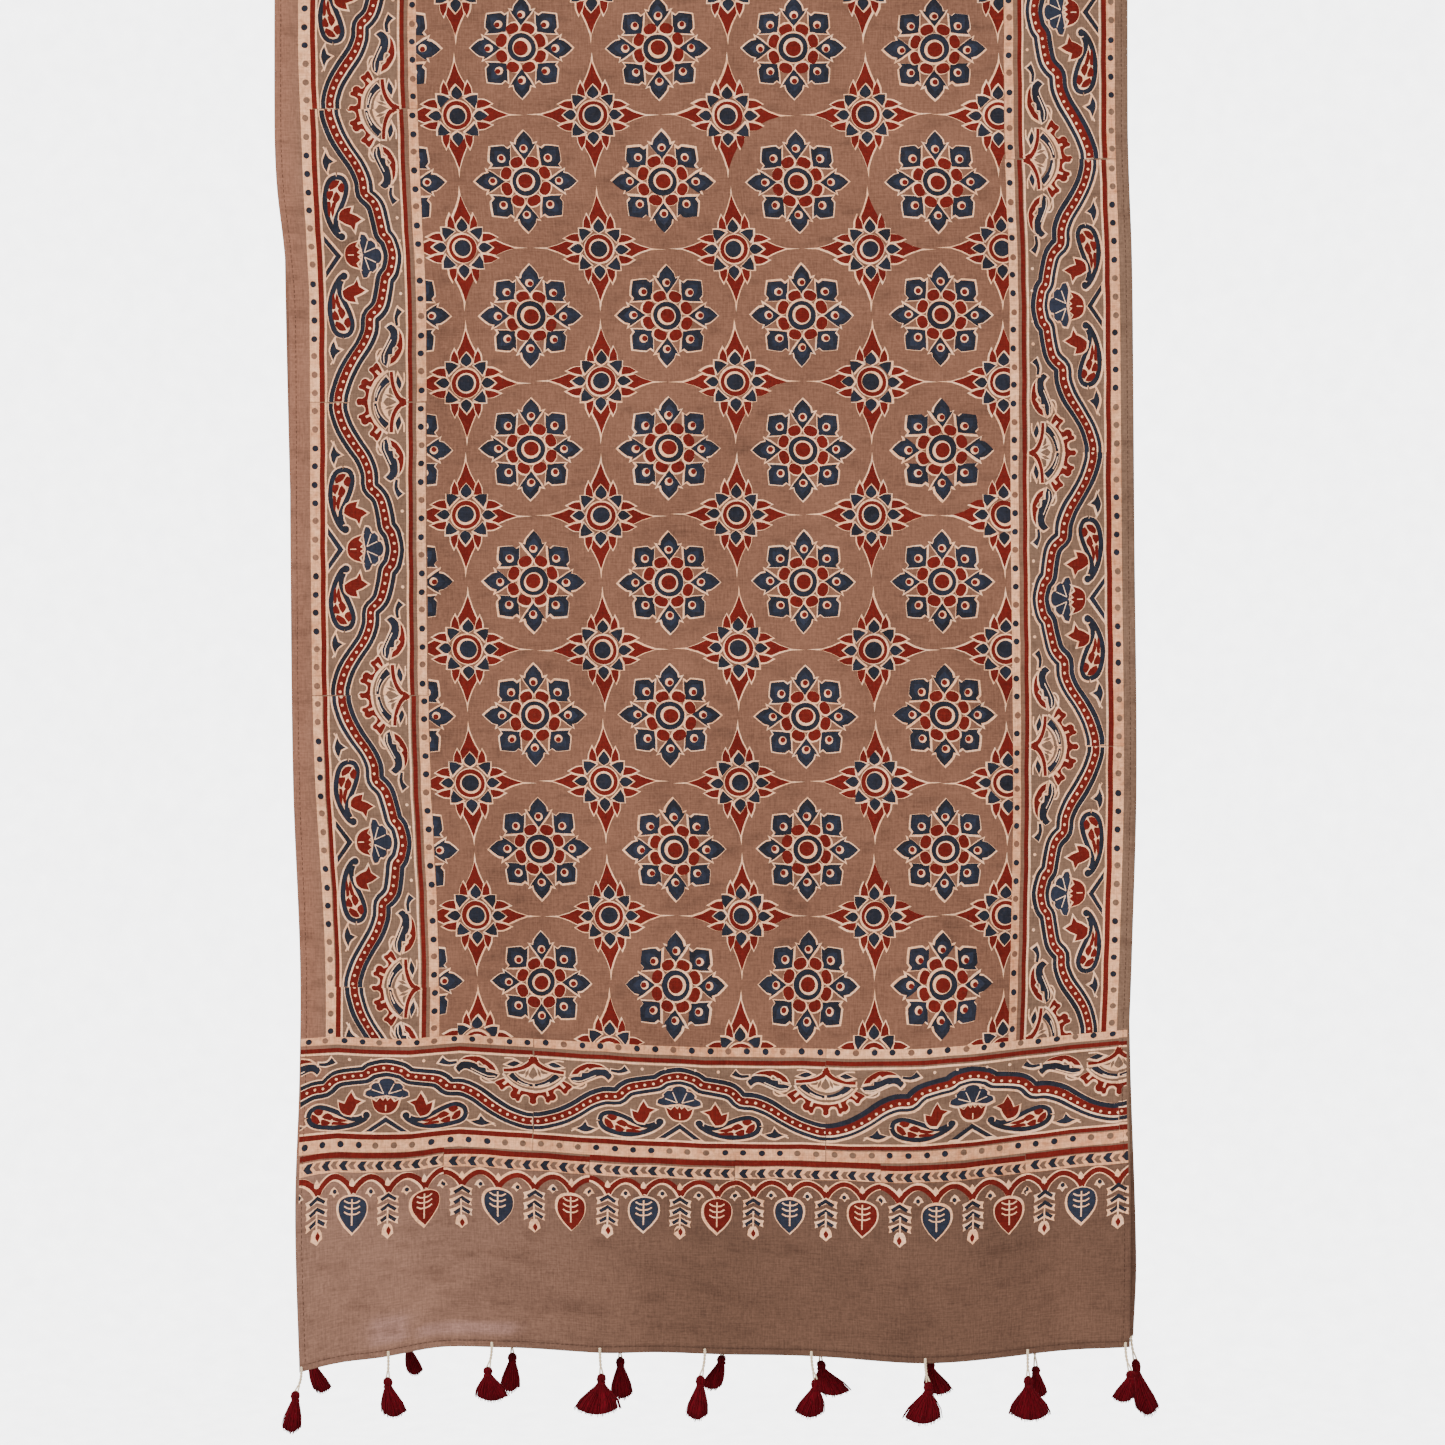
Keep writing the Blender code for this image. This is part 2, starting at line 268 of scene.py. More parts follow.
def read_table(table, at, column):
    """A column's values where the first column would be at, on a smooth curve through the rows."""
    places = np.array([row[0] for row in table])
    values = np.array([row[column] for row in table])
    before = np.maximum(np.arange(len(table)) - 1, 0)
    after = np.minimum(np.arange(len(table)) + 1, len(table) - 1)
    slopes = (values[after] - values[before]) / (places[after] - places[before])
    at = np.clip(at, places[0], places[-1])
    low = np.clip(np.searchsorted(places, at) - 1, 0, len(table) - 2)
    high = low + 1
    span = places[high] - places[low]
    t = (at - places[low]) / span
    return (
        (2 * t**3 - 3 * t**2 + 1) * values[low]
        + (t**3 - 2 * t**2 + t) * span * slopes[low]
        + (3 * t**2 - 2 * t**3) * values[high]
        + (t**3 - t**2) * span * slopes[high]
    )


def sag(table, x, drop):
    """How far the cloth hangs below level: none above LEVEL_DROP, then the table's two columns."""
    at_border = read_table(table, x, 1)
    at_hem = read_table(table, x, 2)
    below = eased(drop, BORDER_DROP, HEM_DROP)
    return eased(drop, LEVEL_DROP, BORDER_DROP) * (at_border + (at_hem - at_border) * below)


def stand_out(folds, x, drop):
    """How far the soft upright folds push the cloth away from the other fall."""
    total = np.zeros_like(x)
    for top_x, hem_x, half_breadth, height, start in folds:
        middle = top_x + (hem_x - top_x) * drop / HEM_DROP
        total += height * eased(drop, start, HEM_DROP) * np.exp(-(((x - middle) / half_breadth) ** 2))
    return total


def creases(across, along):
    """How far the faint creases push the front fall's cloth outwards, in metres, at flat places."""
    total = np.zeros_like(across)
    for level, depth, half_breadth, start, end in LEVEL_CREASES:
        wander = 1.5 * np.sin(across / 61.0 + level)
        faded = eased(across, start - 40, start + 40) * (1 - eased(across, end - 40, end + 40))
        total += depth * faded * np.exp(-(((along - level - wander) / half_breadth) ** 2))
    for (x0, y0), (x1, y1), depth, half_breadth in SLANT_CREASES:
        length = math.hypot(x1 - x0, y1 - y0)
        ux, uy = (x1 - x0) / length, (y1 - y0) / length
        run = (across - x0) * ux + (along - y0) * uy
        off = (along - y0) * ux - (across - x0) * uy
        faded = eased(run, -15, 15) * (1 - eased(run, length - 15, length + 15))
        total += depth * faded * np.exp(-((off / half_breadth) ** 2))
    return total * MM


def middle_surface(across, along):
    """The hanging cloth's middle surface in metres, one point for each flat place in the two arrays."""
    share = across / FLAT_WIDTH
    along_metres = along * MM
    turn = np.clip((along_metres - FRONT_FALL) / FOLD_RADIUS, 0.0, math.pi)
    straight = np.maximum(0.0, FRONT_FALL - along_metres)
    straight += np.maximum(0.0, along_metres - FRONT_FALL - FOLD_LENGTH)
    drop = FOLD_RADIUS * (1.0 - np.sin(turn)) + straight
    made = []
    for edges, folds, sags in ((FRONT_EDGES, FRONT_FOLDS, FRONT_SAG), (BACK_EDGES, BACK_FOLDS, BACK_SAG)):
        left, right = read_table(edges, drop, 1), read_table(edges, drop, 2)
        x = left + share * (right - left)
        made.append((x, stand_out(folds, x, drop), sag(sags, x, drop)))
    front = turn < math.pi / 2
    x = np.where(front, made[0][0], made[1][0])
    out = np.where(front, -made[0][1] - creases(across, along), made[1][1])
    y = out - FOLD_RADIUS * np.cos(turn)
    z = CLOTH_THICK / 2 - drop - np.where(front, made[0][2], made[1][2])
    return np.stack((x, y, z), axis=-1)


def spaced(start, end, step):
    """Even places from start up to end, end left out, no further apart than step."""
    count = math.ceil((end - start) / step - 1e-6)
    return [start + (end - start) * i / count for i in range(count)]


def grid_columns():
    """The flat places across at which the cloth has a line of points."""
    edge = [distance for distance, _ in HEM_LEVELS]
    inside = spaced(edge[-1], FLAT_WIDTH - edge[-1], CELL)
    return np.array(edge[:-1] + inside + [FLAT_WIDTH - distance for distance in reversed(edge)])


def grid_rows():
    """The flat places along at which the cloth has a line of points, closer at creases and on the fold."""
    edge = [distance for distance, _ in HEM_LEVELS]
    fold_start = FRONT_FALL / MM
    fold_end = fold_start + FOLD_LENGTH / MM
    front = spaced(edge[-1], 78.0, CELL / 2) + spaced(78.0, fold_start, CELL)
    fine = [level + step for level, *_ in LEVEL_CREASES for step in (-6.0, -3.5, -1.5, 0.0, 1.5, 3.5, 6.0)]
    front = [line for line in front if min(abs(line - other) for other in fine) > 2.6]
    fold = spaced(fold_start, fold_end, FOLD_CELL)
    back = spaced(fold_end, FLAT_LENGTH - edge[-1], CELL)
    far_edge = [FLAT_LENGTH - distance for distance in reversed(edge)]
    return np.array(sorted(edge[:-1] + front + fine + fold + back + far_edge))


COLUMNS = grid_columns()
ROWS = grid_rows()


def cloth_grids():
    """The middle surface and its outward normals at every crossing of the grid's lines."""
    across, along = np.meshgrid(COLUMNS, ROWS)
    points = middle_surface(across, along)
    over = np.gradient(points, COLUMNS, axis=1)
    up = np.gradient(points, ROWS, axis=0)
    normals = np.cross(over, up)
    return points, normals / np.linalg.norm(normals, axis=-1, keepdims=True)


def slab_heights():
    """The outer face's height above the middle surface at every crossing, in metres."""
    distances, heights = zip(*HEM_LEVELS)
    to_side = np.minimum(COLUMNS, FLAT_WIDTH - COLUMNS)
    to_end = np.minimum(ROWS, FLAT_LENGTH - ROWS)
    side = np.interp(to_side, distances, heights)[None, :]
    end = np.interp(to_end, distances, heights)[:, None]
    at_edge = np.minimum(side, end)
    inside = np.maximum(side, end)
    touching = (to_side[None, :] < 0.6) | (to_end[:, None] < 0.6)
    return np.where(touching, at_edge, inside) * MM


MIDDLE, NORMALS = cloth_grids()
OUTER = MIDDLE + NORMALS * slab_heights()[..., None]
INNER = MIDDLE - NORMALS * slab_heights()[..., None]


def on_grid(grid, places):
    """The grid's value at each flat place, straight between the crossings around it."""
    column = np.clip(np.searchsorted(COLUMNS, places[:, 0]) - 1, 0, len(COLUMNS) - 2)
    row = np.clip(np.searchsorted(ROWS, places[:, 1]) - 1, 0, len(ROWS) - 2)
    u = ((places[:, 0] - COLUMNS[column]) / (COLUMNS[column + 1] - COLUMNS[column]))[:, None]
    v = ((places[:, 1] - ROWS[row]) / (ROWS[row + 1] - ROWS[row]))[:, None]
    low = grid[row, column] * (1 - u) + grid[row, column + 1] * u
    high = grid[row + 1, column] * (1 - u) + grid[row + 1, column + 1] * u
    return low * (1 - v) + high * v


def linear(red, green, blue):
    """A colour as it is read off a screen, 0 to 255, in the linear values that shaders take."""
    return tuple(((c / 255 + 0.055) / 1.055) ** 2.4 for c in (red, green, blue))


# Materials


class Shader:
    """A new material's node tree, with short ways to add nodes to it and join them."""

    def __init__(self, name, roughness):
        self.material = bpy.data.materials.new(name)
        self.material.use_nodes = True
        self.tree = self.material.node_tree
        self.surface = self.tree.nodes["Principled BSDF"]
        self.surface.inputs["Roughness"].default_value = roughness
        self.surface.inputs["Specular IOR Level"].default_value = 0.12

    def add(self, kind, **settings):
        node = self.tree.nodes.new(kind)
        for name, value in settings.items():
            setattr(node, name, value)
        return node

    def join(self, source, target):
        self.tree.links.new(source, target)

    def noise(self, vector, scale, detail=2.0):
        """A noise texture's value; scale is three numbers per metre, so that it can be drawn out."""
        stretched = self.add("ShaderNodeVectorMath", operation="MULTIPLY")
        self.join(vector, stretched.inputs[0])
        stretched.inputs[1].default_value = scale
        texture = self.add("ShaderNodeTexNoise")
        texture.inputs["Scale"].default_value = 1.0
        texture.inputs["Detail"].default_value = detail
        self.join(stretched.outputs[0], texture.inputs["Vector"])
        return texture.outputs["Fac"]

    def math(self, operation, *values):
        node = self.add("ShaderNodeMath", operation=operation)
        for socket, value in zip(node.inputs, values):
            if isinstance(value, (int, float)):
                socket.default_value = value
            else:
                self.join(value, socket)
        return node.outputs[0]

    def mapped(self, value, low, high, new_low, new_high):
        node = self.add("ShaderNodeMapRange")
        self.join(value, node.inputs["Value"])
        for name, number in zip(("From Min", "From Max", "To Min", "To Max"), (low, high, new_low, new_high)):
            node.inputs[name].default_value = number
        return node.outputs["Result"]

    def mix(self, factor, first, second, blend="MIX"):
        """Two colours mixed; each is a socket or three linear numbers."""
        node = self.add("ShaderNodeMix", data_type="RGBA", blend_type=blend)
        for socket, value in zip((node.inputs["Factor"], node.inputs["A"], node.inputs["B"]), (factor, None, None)):
            if isinstance(value, (int, float)):
                socket.default_value = value
            elif value is not None:
                self.join(value, socket)
        for socket, value in ((node.inputs[6], first), (node.inputs[7], second)):
            if isinstance(value, tuple):
                socket.default_value = (*value, 1.0)
            else:
                self.join(value, socket)
        return node.outputs[2]

    def ramp(self, value, colours):
        """The colours, evenly spaced from 0 to 1, read at the value."""
        node = self.add("ShaderNodeValToRGB")
        stops = node.color_ramp.elements
        for _ in colours[2:]:
            stops.new(0.5)
        for number, colour in enumerate(colours):
            stops[number].position = number / (len(colours) - 1)
            stops[number].color = (*colour, 1.0)
        self.join(value, node.inputs["Fac"])
        return node.outputs["Color"]

    def bump(self, height, strength, distance):
        node = self.add("ShaderNodeBump")
        node.inputs["Strength"].default_value = strength
        node.inputs["Distance"].default_value = distance
        self.join(height, node.inputs["Height"])
        self.join(node.outputs["Normal"], self.surface.inputs["Normal"])


def weave(shader):
    """Plain weave on the flat cloth: a brightness near 1, and the threads' height."""
    flat = shader.add("ShaderNodeUVMap", uv_map="flat").outputs["UV"]
    warp = shader.noise(flat, (1150.0, 90.0, 1.0))
    weft = shader.noise(flat, (90.0, 1150.0, 1.0))
    grain = shader.noise(flat, (560.0, 560.0, 1.0))
    cloud = shader.noise(flat, (16.0, 12.0, 1.0), detail=4.0)
    threads = shader.math("ADD", warp, weft)
    fine = shader.math("MULTIPLY_ADD", grain, 0.9, threads)
    thread_shade = shader.mapped(fine, 1.05, 1.85, 0.72, 1.28)
    shade = shader.math("ADD", thread_shade, shader.mapped(cloud, 0.3, 0.7, -0.12, 0.10))
    return flat, shade, fine


def cloth_material():
    """Undyed parts take their region's dyed colour from the mesh, with painted shade in it across the plain ends and
    along the hem stitches, and are shaded by the weave.
    """
    shader = Shader("printed_cotton", 0.88)
    flat, shade, height = weave(shader)
    dye_and_shade = shader.add("ShaderNodeAttribute", attribute_name="dye_and_shade").outputs["Color"]
    stain = shader.noise(flat, (35.0, 90.0, 1.0), detail=5.0)
    stained = shader.mix(shader.mapped(stain, 0.52, 0.75, 0.0, 0.50), dye_and_shade, linear(82, 57, 45))
    lit = shader.mix(1.0, stained, shade, blend="MULTIPLY")
    shader.join(lit, shader.surface.inputs["Base Color"])
    shader.bump(height, 0.35, 0.0002)
    return shader.material


def ink_material(name, shades, worn, wear):
    """A printed ink: its shade from the shape's tone, uneven, and thin enough in places to show the cloth."""
    shader = Shader(name, 0.86)
    flat, shade, height = weave(shader)
    tone = shader.add("ShaderNodeAttribute", attribute_name="tone").outputs["Fac"]
    pool = shader.noise(flat, (190.0, 190.0, 1.0), detail=3.0)
    uneven = shader.math("ADD", tone, shader.mapped(pool, 0.3, 0.7, -0.2, 0.2))
    colour = shader.ramp(uneven, shades)
    thin = shader.noise(flat, (520.0, 520.0, 1.0), detail=3.0)
    faded = shader.mix(shader.mapped(thin, 0.56, 0.72, 0.0, wear), colour, worn)
    lit = shader.mix(1.0, faded, shade, blend="MULTIPLY")
    shader.join(lit, shader.surface.inputs["Base Color"])
    shader.bump(height, 0.35, 0.0002)
    return shader.material


def yarn_material(name, dark, light, roughness, scale):
    """Spun yarn: shades that change from strand to strand and along each."""
    shader = Shader(name, roughness)
    place = shader.add("ShaderNodeTexCoord").outputs["Object"]
    fibre = shader.noise(place, (scale, scale, scale / 9), detail=3.0)
    colour = shader.mix(shader.mapped(fibre, 0.3, 0.7, 0.0, 1.0), dark, light)
    shader.join(colour, shader.surface.inputs["Base Color"])
    shader.bump(fibre, 0.4, 0.0003)
    return shader.material


def make_materials():
    creams = [linear(208, 138, 98), linear(250, 184, 138), linear(254, 208, 172)]
    reds = [linear(90, 18, 12), linear(110, 28, 20)]
    indigos = [linear(32, 32, 38), linear(44, 49, 64)]
    return {
        "cloth": cloth_material(),
        "cream": ink_material("print_cream", creams, linear(176, 126, 96), 0.50),
        "red": ink_material("print_red", reds, linear(112, 58, 44), 0.30),
        "indigo": ink_material("print_indigo", indigos, linear(70, 58, 56), 0.30),
        "thread": yarn_material("cream_thread", linear(226, 196, 156), linear(252, 232, 200), 0.8, 2600.0),
        "tassel": yarn_material("maroon_yarn", linear(66, 2, 9), linear(114, 5, 22), 0.9, 1900.0),
        "stitch": yarn_material("hem_stitch_thread", linear(66, 44, 34), linear(96, 68, 54), 0.85, 2600.0),
    }


# Meshes


def make_piece(name, verts, faces, material, smooth=True):
    mesh = bpy.data.meshes.new(name)
    mesh.from_pydata([tuple(v) for v in verts], [], [tuple(f) for f in faces])
    mesh.materials.append(material)
    if smooth:
        mesh.shade_smooth()
    piece = bpy.data.objects.new(name, mesh)
    bpy.context.scene.collection.objects.link(piece)
    return piece


def dress(piece):
    """Every piece rides on the one body."""
    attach(piece, "root")
    return piece


def add_uvs(mesh, name, coordinates):
    """A UV layer from one pair of numbers for each corner of each face."""
    layer = mesh.uv_layers.new(name=name)
    layer.data.foreach_set("uv", np.asarray(coordinates, dtype=np.float32).ravel())


def region_dye_and_shade(across, along):
    """The dyed ground's colour at flat places: redder field, greyer borders, plain ends, pale left margin. It also
    holds painted light and shade: the plain ends lighter at the left and darker to the right, and a painted shadow
    line along the hem stitches.
    """
    field = np.array(linear(125, 85, 66))
    border = np.array(linear(120, 91, 73))
    # Painted light and shade: the plain ends are painted lighter at the left and darker towards the right.
    plain_lit_left = np.array(linear(135, 99, 82))
    plain_shaded_right = np.array(linear(103, 74, 59))
    margin = np.array(linear(142, 97, 77))
    from_end = np.minimum(along, FLAT_LENGTH - along)
    faded = np.array(linear(158, 118, 105))
    in_field = eased(across, 82, 92) * (1 - eased(across, 480, 490)) * eased(from_end, 200, 206)
    in_plain = 1 - eased(from_end, 116, 128)
    in_margin = (1 - eased(across, 12, 20)) * (1 - in_plain)
    # The plain ends' painted run from light at the left to shade at the right.
    plain = plain_lit_left + (plain_shaded_right - plain_lit_left) * eased(across, 60, 280)[..., None]
    colour = border + (field - border) * in_field[..., None]
    colour = colour + (margin - colour) * in_margin[..., None]
    colour = colour + (plain - colour) * in_plain[..., None]
    for left, low, right, high in FADED_PATCHES:
        inside = eased(across, left - 4, left + 4) * (1 - eased(across, right - 4, right + 4))
        inside = inside * eased(along, low - 2, low + 2) * (1 - eased(along, high - 2, high + 2))
        colour = colour + (faded - colour) * 0.75 * inside[..., None]
    # Painted shadow: a darker line along the row of hem stitches.
    stitch_line_shadow = np.exp(-(((from_end - STITCH_INSET) / 0.9) ** 2))
    return colour * (1 - 0.30 * stitch_line_shadow[..., None])


def make_cloth(material):
    """The whole length as one closed slab: outer face, inner face and the rim between them."""
    rows, columns = len(ROWS), len(COLUMNS)
    outer = np.arange(rows * columns).reshape(rows, columns)
    inner = outer + rows * columns
    outer_quads = np.stack((outer[:-1, :-1], outer[:-1, 1:], outer[1:, 1:], outer[1:, :-1]), -1).reshape(-1, 4)
    inner_quads = (outer_quads + rows * columns)[:, ::-1]
    rim = np.concatenate((outer[0], outer[1:, -1], outer[-1, -2::-1], outer[-2:0:-1, 0]))
    following = np.roll(rim, -1)
    rim_quads = np.stack((following, rim, rim + rows * columns, following + rows * columns), -1)
    quads = np.concatenate((outer_quads, inner_quads, rim_quads))
    verts = np.concatenate((OUTER.reshape(-1, 3), INNER.reshape(-1, 3)))
    cloth = make_piece("stole_cloth", verts, quads, material)
    across, along = np.meshgrid(COLUMNS, ROWS)
    flat = np.stack((across, along), -1).reshape(-1, 2)
    flat = np.concatenate((flat, flat))
    add_uvs(cloth.data, "flat", flat[quads] * MM)
    add_uvs(cloth.data, "OFBake", cloth_chart(flat, quads, len(outer_quads), len(inner_quads)))
    # The ground's dyed colour with its painted light and shade: the plain ends' run from light to dark and the shadow
    # line along the hem stitches.
    dye_and_shade = region_dye_and_shade(across, along).reshape(-1, 3)
    dye_and_shade = np.concatenate((dye_and_shade, dye_and_shade * 1.06))
    colours = cloth.data.color_attributes.new("dye_and_shade", "FLOAT_COLOR", "POINT")
    colours.data.foreach_set("color", np.column_stack((dye_and_shade, np.ones(len(dye_and_shade)))).ravel())
    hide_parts("cloth")
    return dress(cloth)


def cloth_chart(flat, quads, outer_count, inner_count):
    """Bake places: each face of the cloth as two halves side by side, and the rim in a strip above them."""
    share = flat[quads] / (FLAT_WIDTH, FLAT_LENGTH)
    half = (share[..., 1].mean(axis=1) > 0.5).astype(float)[:, None]
    u = share[..., 0]
    v = share[..., 1] * 2 - half
    chart = np.empty(share.shape)
    outer = slice(0, outer_count)
    inner = slice(outer_count, outer_count + inner_count)
    rim = slice(outer_count + inner_count, None)
    chart[outer, :, 0] = 0.005 + (u[outer] + half[outer] * 1.02) * 0.38
    chart[inner, :, 0] = 0.790 + (u[inner] + half[inner] * 1.06) * 0.10
    chart[:, :, 1] = 0.005 + v * 0.96
    run = np.arange(len(quads) - outer_count - inner_count) / (len(quads) - outer_count - inner_count)
    step = run[1]
    chart[rim, :, 0] = 0.005 + 0.98 * (run[:, None] + np.array([step, 0.0, 0.0, step])[None, :] * 0.98)
    chart[rim, :, 1] = np.array([0.985, 0.985, 0.995, 0.995])
    return chart


# Outlines, in millimetres


def curve(points, steps=3):
    """A smooth line through the points, with steps pieces between each two."""
    points = np.array(points, float)
    if len(points) < 3:
        return points
    padded = np.vstack((2 * points[0] - points[1], points, 2 * points[-1] - points[-2]))
    made = []
    for before, low, high, after in zip(padded, padded[1:], padded[2:], padded[3:]):
        for t in np.arange(steps) / steps:
            made.append(
                low
                + 0.5 * t * (high - before)
                + t * t * (before - 2.5 * low + 2 * high - 0.5 * after)
                + 0.5 * t**3 * (3 * (low - high) + after - before)
            )
    return np.vstack((made, points[-1:]))


def outline(*spans, steps=3):
    """A closed outline: each span starts at a sharp corner and runs smoothly to the next span's start."""
    joined = [curve([*span, after[0]], steps)[:-1] for span, after in zip(spans, spans[1:] + spans[:1])]
    return np.vstack(joined)


def symmetric(*spans, steps=3):
    """An outline that mirrors itself across x = 0. Its spans run up the right side, from that line to it."""
    joined = [curve([*span, after[0]], steps)[:-1] for span, after in zip(spans, spans[1:])]
    side = np.vstack([*joined, curve(spans[-1], steps)])
    return np.vstack((side, side[-2:0:-1] * (-1, 1)))


def disc(x, y, radius, sides=12):
    turns = np.arange(sides) * 2 * math.pi / sides
    return np.column_stack((x + radius * np.cos(turns), y + radius * np.sin(turns)))


def bar(left, right, low, high, step=16.0):
    """A level stripe, with points along it so that it can waver."""
    places = [*spaced(left, right, step), right]
    return np.array([(x, low) for x in places] + [(x, high) for x in reversed(places)])


def turned(points, angle):
    cos, sin = math.cos(angle), math.sin(angle)
    return points @ np.array([[cos, sin], [-sin, cos]])


def mirrored(points):
    """The outline and its mirror image across x = 0."""
    return [points, points * (-1, 1)]


def four_ways(points):
    return [points * (x, y) for x in (1, -1) for y in (1, -1)]


def signed_area(points):
    x, y = points[:, 0], points[:, 1]
    return 0.5 * float(np.sum(x * np.roll(y, -1) - np.roll(x, -1) * y))


def crossing(a, b, c, d):
    """Where the runs a-b and c-d cross, or None."""
    run, other = b - a, d - c
    turn = run[0] * other[1] - run[1] * other[0]
    if abs(turn) < 1e-12:
        return None
    t = ((c[0] - a[0]) * other[1] - (c[1] - a[1]) * other[0]) / turn
    u = ((c[0] - a[0]) * run[1] - (c[1] - a[1]) * run[0]) / turn
    return a + t * run if 0 < t < 1 and 0 < u < 1 else None


def without_loops(points):
    """The outline with the small loops cut off where it crosses itself."""
    i = 0
    while i < len(points) - 2:
        for j in range(i + 2, len(points)):
            if i == 0 and j == len(points) - 1:
                continue
            meeting = crossing(points[i], points[i + 1], points[j], points[(j + 1) % len(points)])
            if meeting is not None:
                kept = np.vstack((points[: i + 1], meeting, points[j + 1 :]))
                loop = np.vstack((meeting, points[i + 1 : j + 1]))
                points = kept if abs(signed_area(kept)) > abs(signed_area(loop)) else loop
                i = -1
                break
        i += 1
    return points


def grown(points, width):
    """The outline moved outwards all round, with corners kept sharp up to a limit."""
    if signed_area(points) < 0:
        points = points[::-1]
    before = points - np.roll(points, 1, axis=0)
    after = np.roll(points, -1, axis=0) - points
    before /= np.linalg.norm(before, axis=1, keepdims=True)
    after /= np.linalg.norm(after, axis=1, keepdims=True)
    out = np.column_stack((before[:, 1] + after[:, 1], -before[:, 0] - after[:, 0]))
    reach = np.sum(out * out, axis=1, keepdims=True) / 2
    moved = points + out * width / np.maximum(reach, 0.22)
    return without_loops(moved)


def stroke(points, half_width, steps=3):
    """A band along a smooth line; half_width is one number, or one for each end and the middle."""
    line = curve(points, steps)
    along = np.gradient(line, axis=0)
    along /= np.linalg.norm(along, axis=1, keepdims=True)
    side = np.column_stack((-along[:, 1], along[:, 0]))
    widths = np.interp(np.linspace(0, 1, len(line)), np.linspace(0, 1, np.size(half_width)), np.ravel(half_width))
    side *= widths[:, None]
    return without_loops(np.vstack((line + side, (line - side)[::-1])))


def outlined(ink, shapes, width, line="cream"):
    """Each shape in its ink over a wider one in the outline's ink."""
    return [(line, grown(shape, width)) for shape in shapes] + [(ink, shape) for shape in shapes]


# Motifs: lists of (ink, outline), each printed over the ones before


def medallion():
    """An eight-petalled rosette inside eight barbed petals, each with an eye."""
    upright = symmetric(
        [(0, 14.0)], [(3.8, 19.2), (5.9, 22.0)], [(7.6, 25.0)], [(5.7, 24.4)], [(5.0, 27.6), (2.7, 30.6)], [(0, 33.4)]
    )
    slanted = symmetric(
        [(0, 14.6)], [(4.4, 18.0), (7.2, 20.6)], [(9.4, 22.6)], [(7.2, 23.0)], [(6.9, 26.0), (4.2, 28.4)], [(0, 31.6)]
    )
    red_petal = symmetric([(0, 10.0), (3.2, 11.0), (4.4, 13.4), (3.4, 16.2), (0, 17.2)])
    patch = symmetric([(0, 17.6), (3.0, 20.8), (3.4, 24.5), (0, 28.4)], steps=2)
    quarter = math.pi / 2
    petals = [turned(upright, k * quarter) for k in range(4)]
    petals += [turned(slanted, (k + 0.5) * quarter) for k in range(4)]
    eyes = [turned(np.array([[0.0, 21.6]]), k * math.pi / 4)[0] for k in range(8)]
    shapes = outlined("dark", petals, 0.80)
    shapes += [("blue", turned(patch, k * math.pi / 4)) for k in range(8)]
    shapes += outlined("red", [turned(red_petal, (k + 0.5) * math.pi / 4) for k in range(8)], 0.6)
    shapes += [("cream", disc(*eye, 2.65)) for eye in eyes]
    shapes += [("red", disc(*eye, 1.8, sides=10)) for eye in eyes]
    for ink, radius in (("cream", 10.4), ("dark", 9.5), ("cream", 6.2), ("red", 4.9)):
        shapes.append((ink, disc(0, 0, radius, sides=28)))
    return shapes


def star():
    """A four-armed star between the medallions: red flames round a dark disc and eight dark leaves."""
    tall = symmetric([(0, 20.8)], [(4.8, 15.0)], [(5.9, 20.6), (2.6, 27.5)], [(0, 35.2)])
    wide = np.array([(34, 0), (27, 2.2), (21.4, 4.9), (16.4, 3.4), (20.6, 0), (16.4, -3.4), (21.4, -4.9), (27, -2.2)])
    upper_flames = four_ways(outline([(7.9, 22.0), (9.7, 18.0)], [(10.0, 15.0), (9.8, 13.4)], [(4.9, 13.0)], [(5.6, 17.5)]))
    side_flames = four_ways(outline([(13.4, 9.8), (18.0, 9.4)], [(22.6, 7.0)], [(18.4, 5.2)], [(12.8, 4.2)]))
    leaf = symmetric([(0, 10.6), (3.0, 12.6), (3.7, 15.0), (2.0, 17.8)], [(0, 20.0)])
    side_leaf = turned(leaf * (0.9, 0.98), math.pi / 2)
    corner = outline([(13.4, 13.4), (9.0, 13.2)], [(4.9, 11.2)], [(8.2, 8.2)], [(11.2, 4.9)], [(13.2, 9.0)], steps=2)
    spike = np.array([(-0.9, 34.0), (0, 41.5), (0.9, 34.0)])
    long_spike = np.array([(32.5, -0.7), (43.6, 0), (32.5, 0.7)])
    shapes = [("cream", spike), ("cream", -spike), ("cream", long_spike), ("cream", -long_spike)]
    flames = [tall, tall * (1, -1), wide, wide * (-1, 1)] + upper_flames + side_flames
    shapes += outlined("red", flames, 0.70)
    shapes += outlined("dark", [leaf, leaf * (1, -1), side_leaf, -side_leaf] + four_ways(corner), 0.65)
    shapes += [("cream", disc(0, 0, 10.2, 24)), ("red", disc(0, 0, 9.4, 24))]
    shapes += [("cream", disc(0, 0, 6.7, 20)), ("dark", disc(0, 0, 5.6, 20))]
    return shapes


# The border block: x from its centre line, w up from the vine region's foot

VINE = [
    (-96.0, 7.0), (-90.1, 7.5), (-79.3, 11.1), (-68.8, 17.1), (-59.0, 23.7), (-49.3, 27.6), (-40.7, 28.3),
    (-36.2, 32.5), (-31.3, 35.4), (-20.8, 37.7), (-14.7, 38.8), (-11.7, 41.0), (-8.8, 42.5), (0.0, 44.2),
]


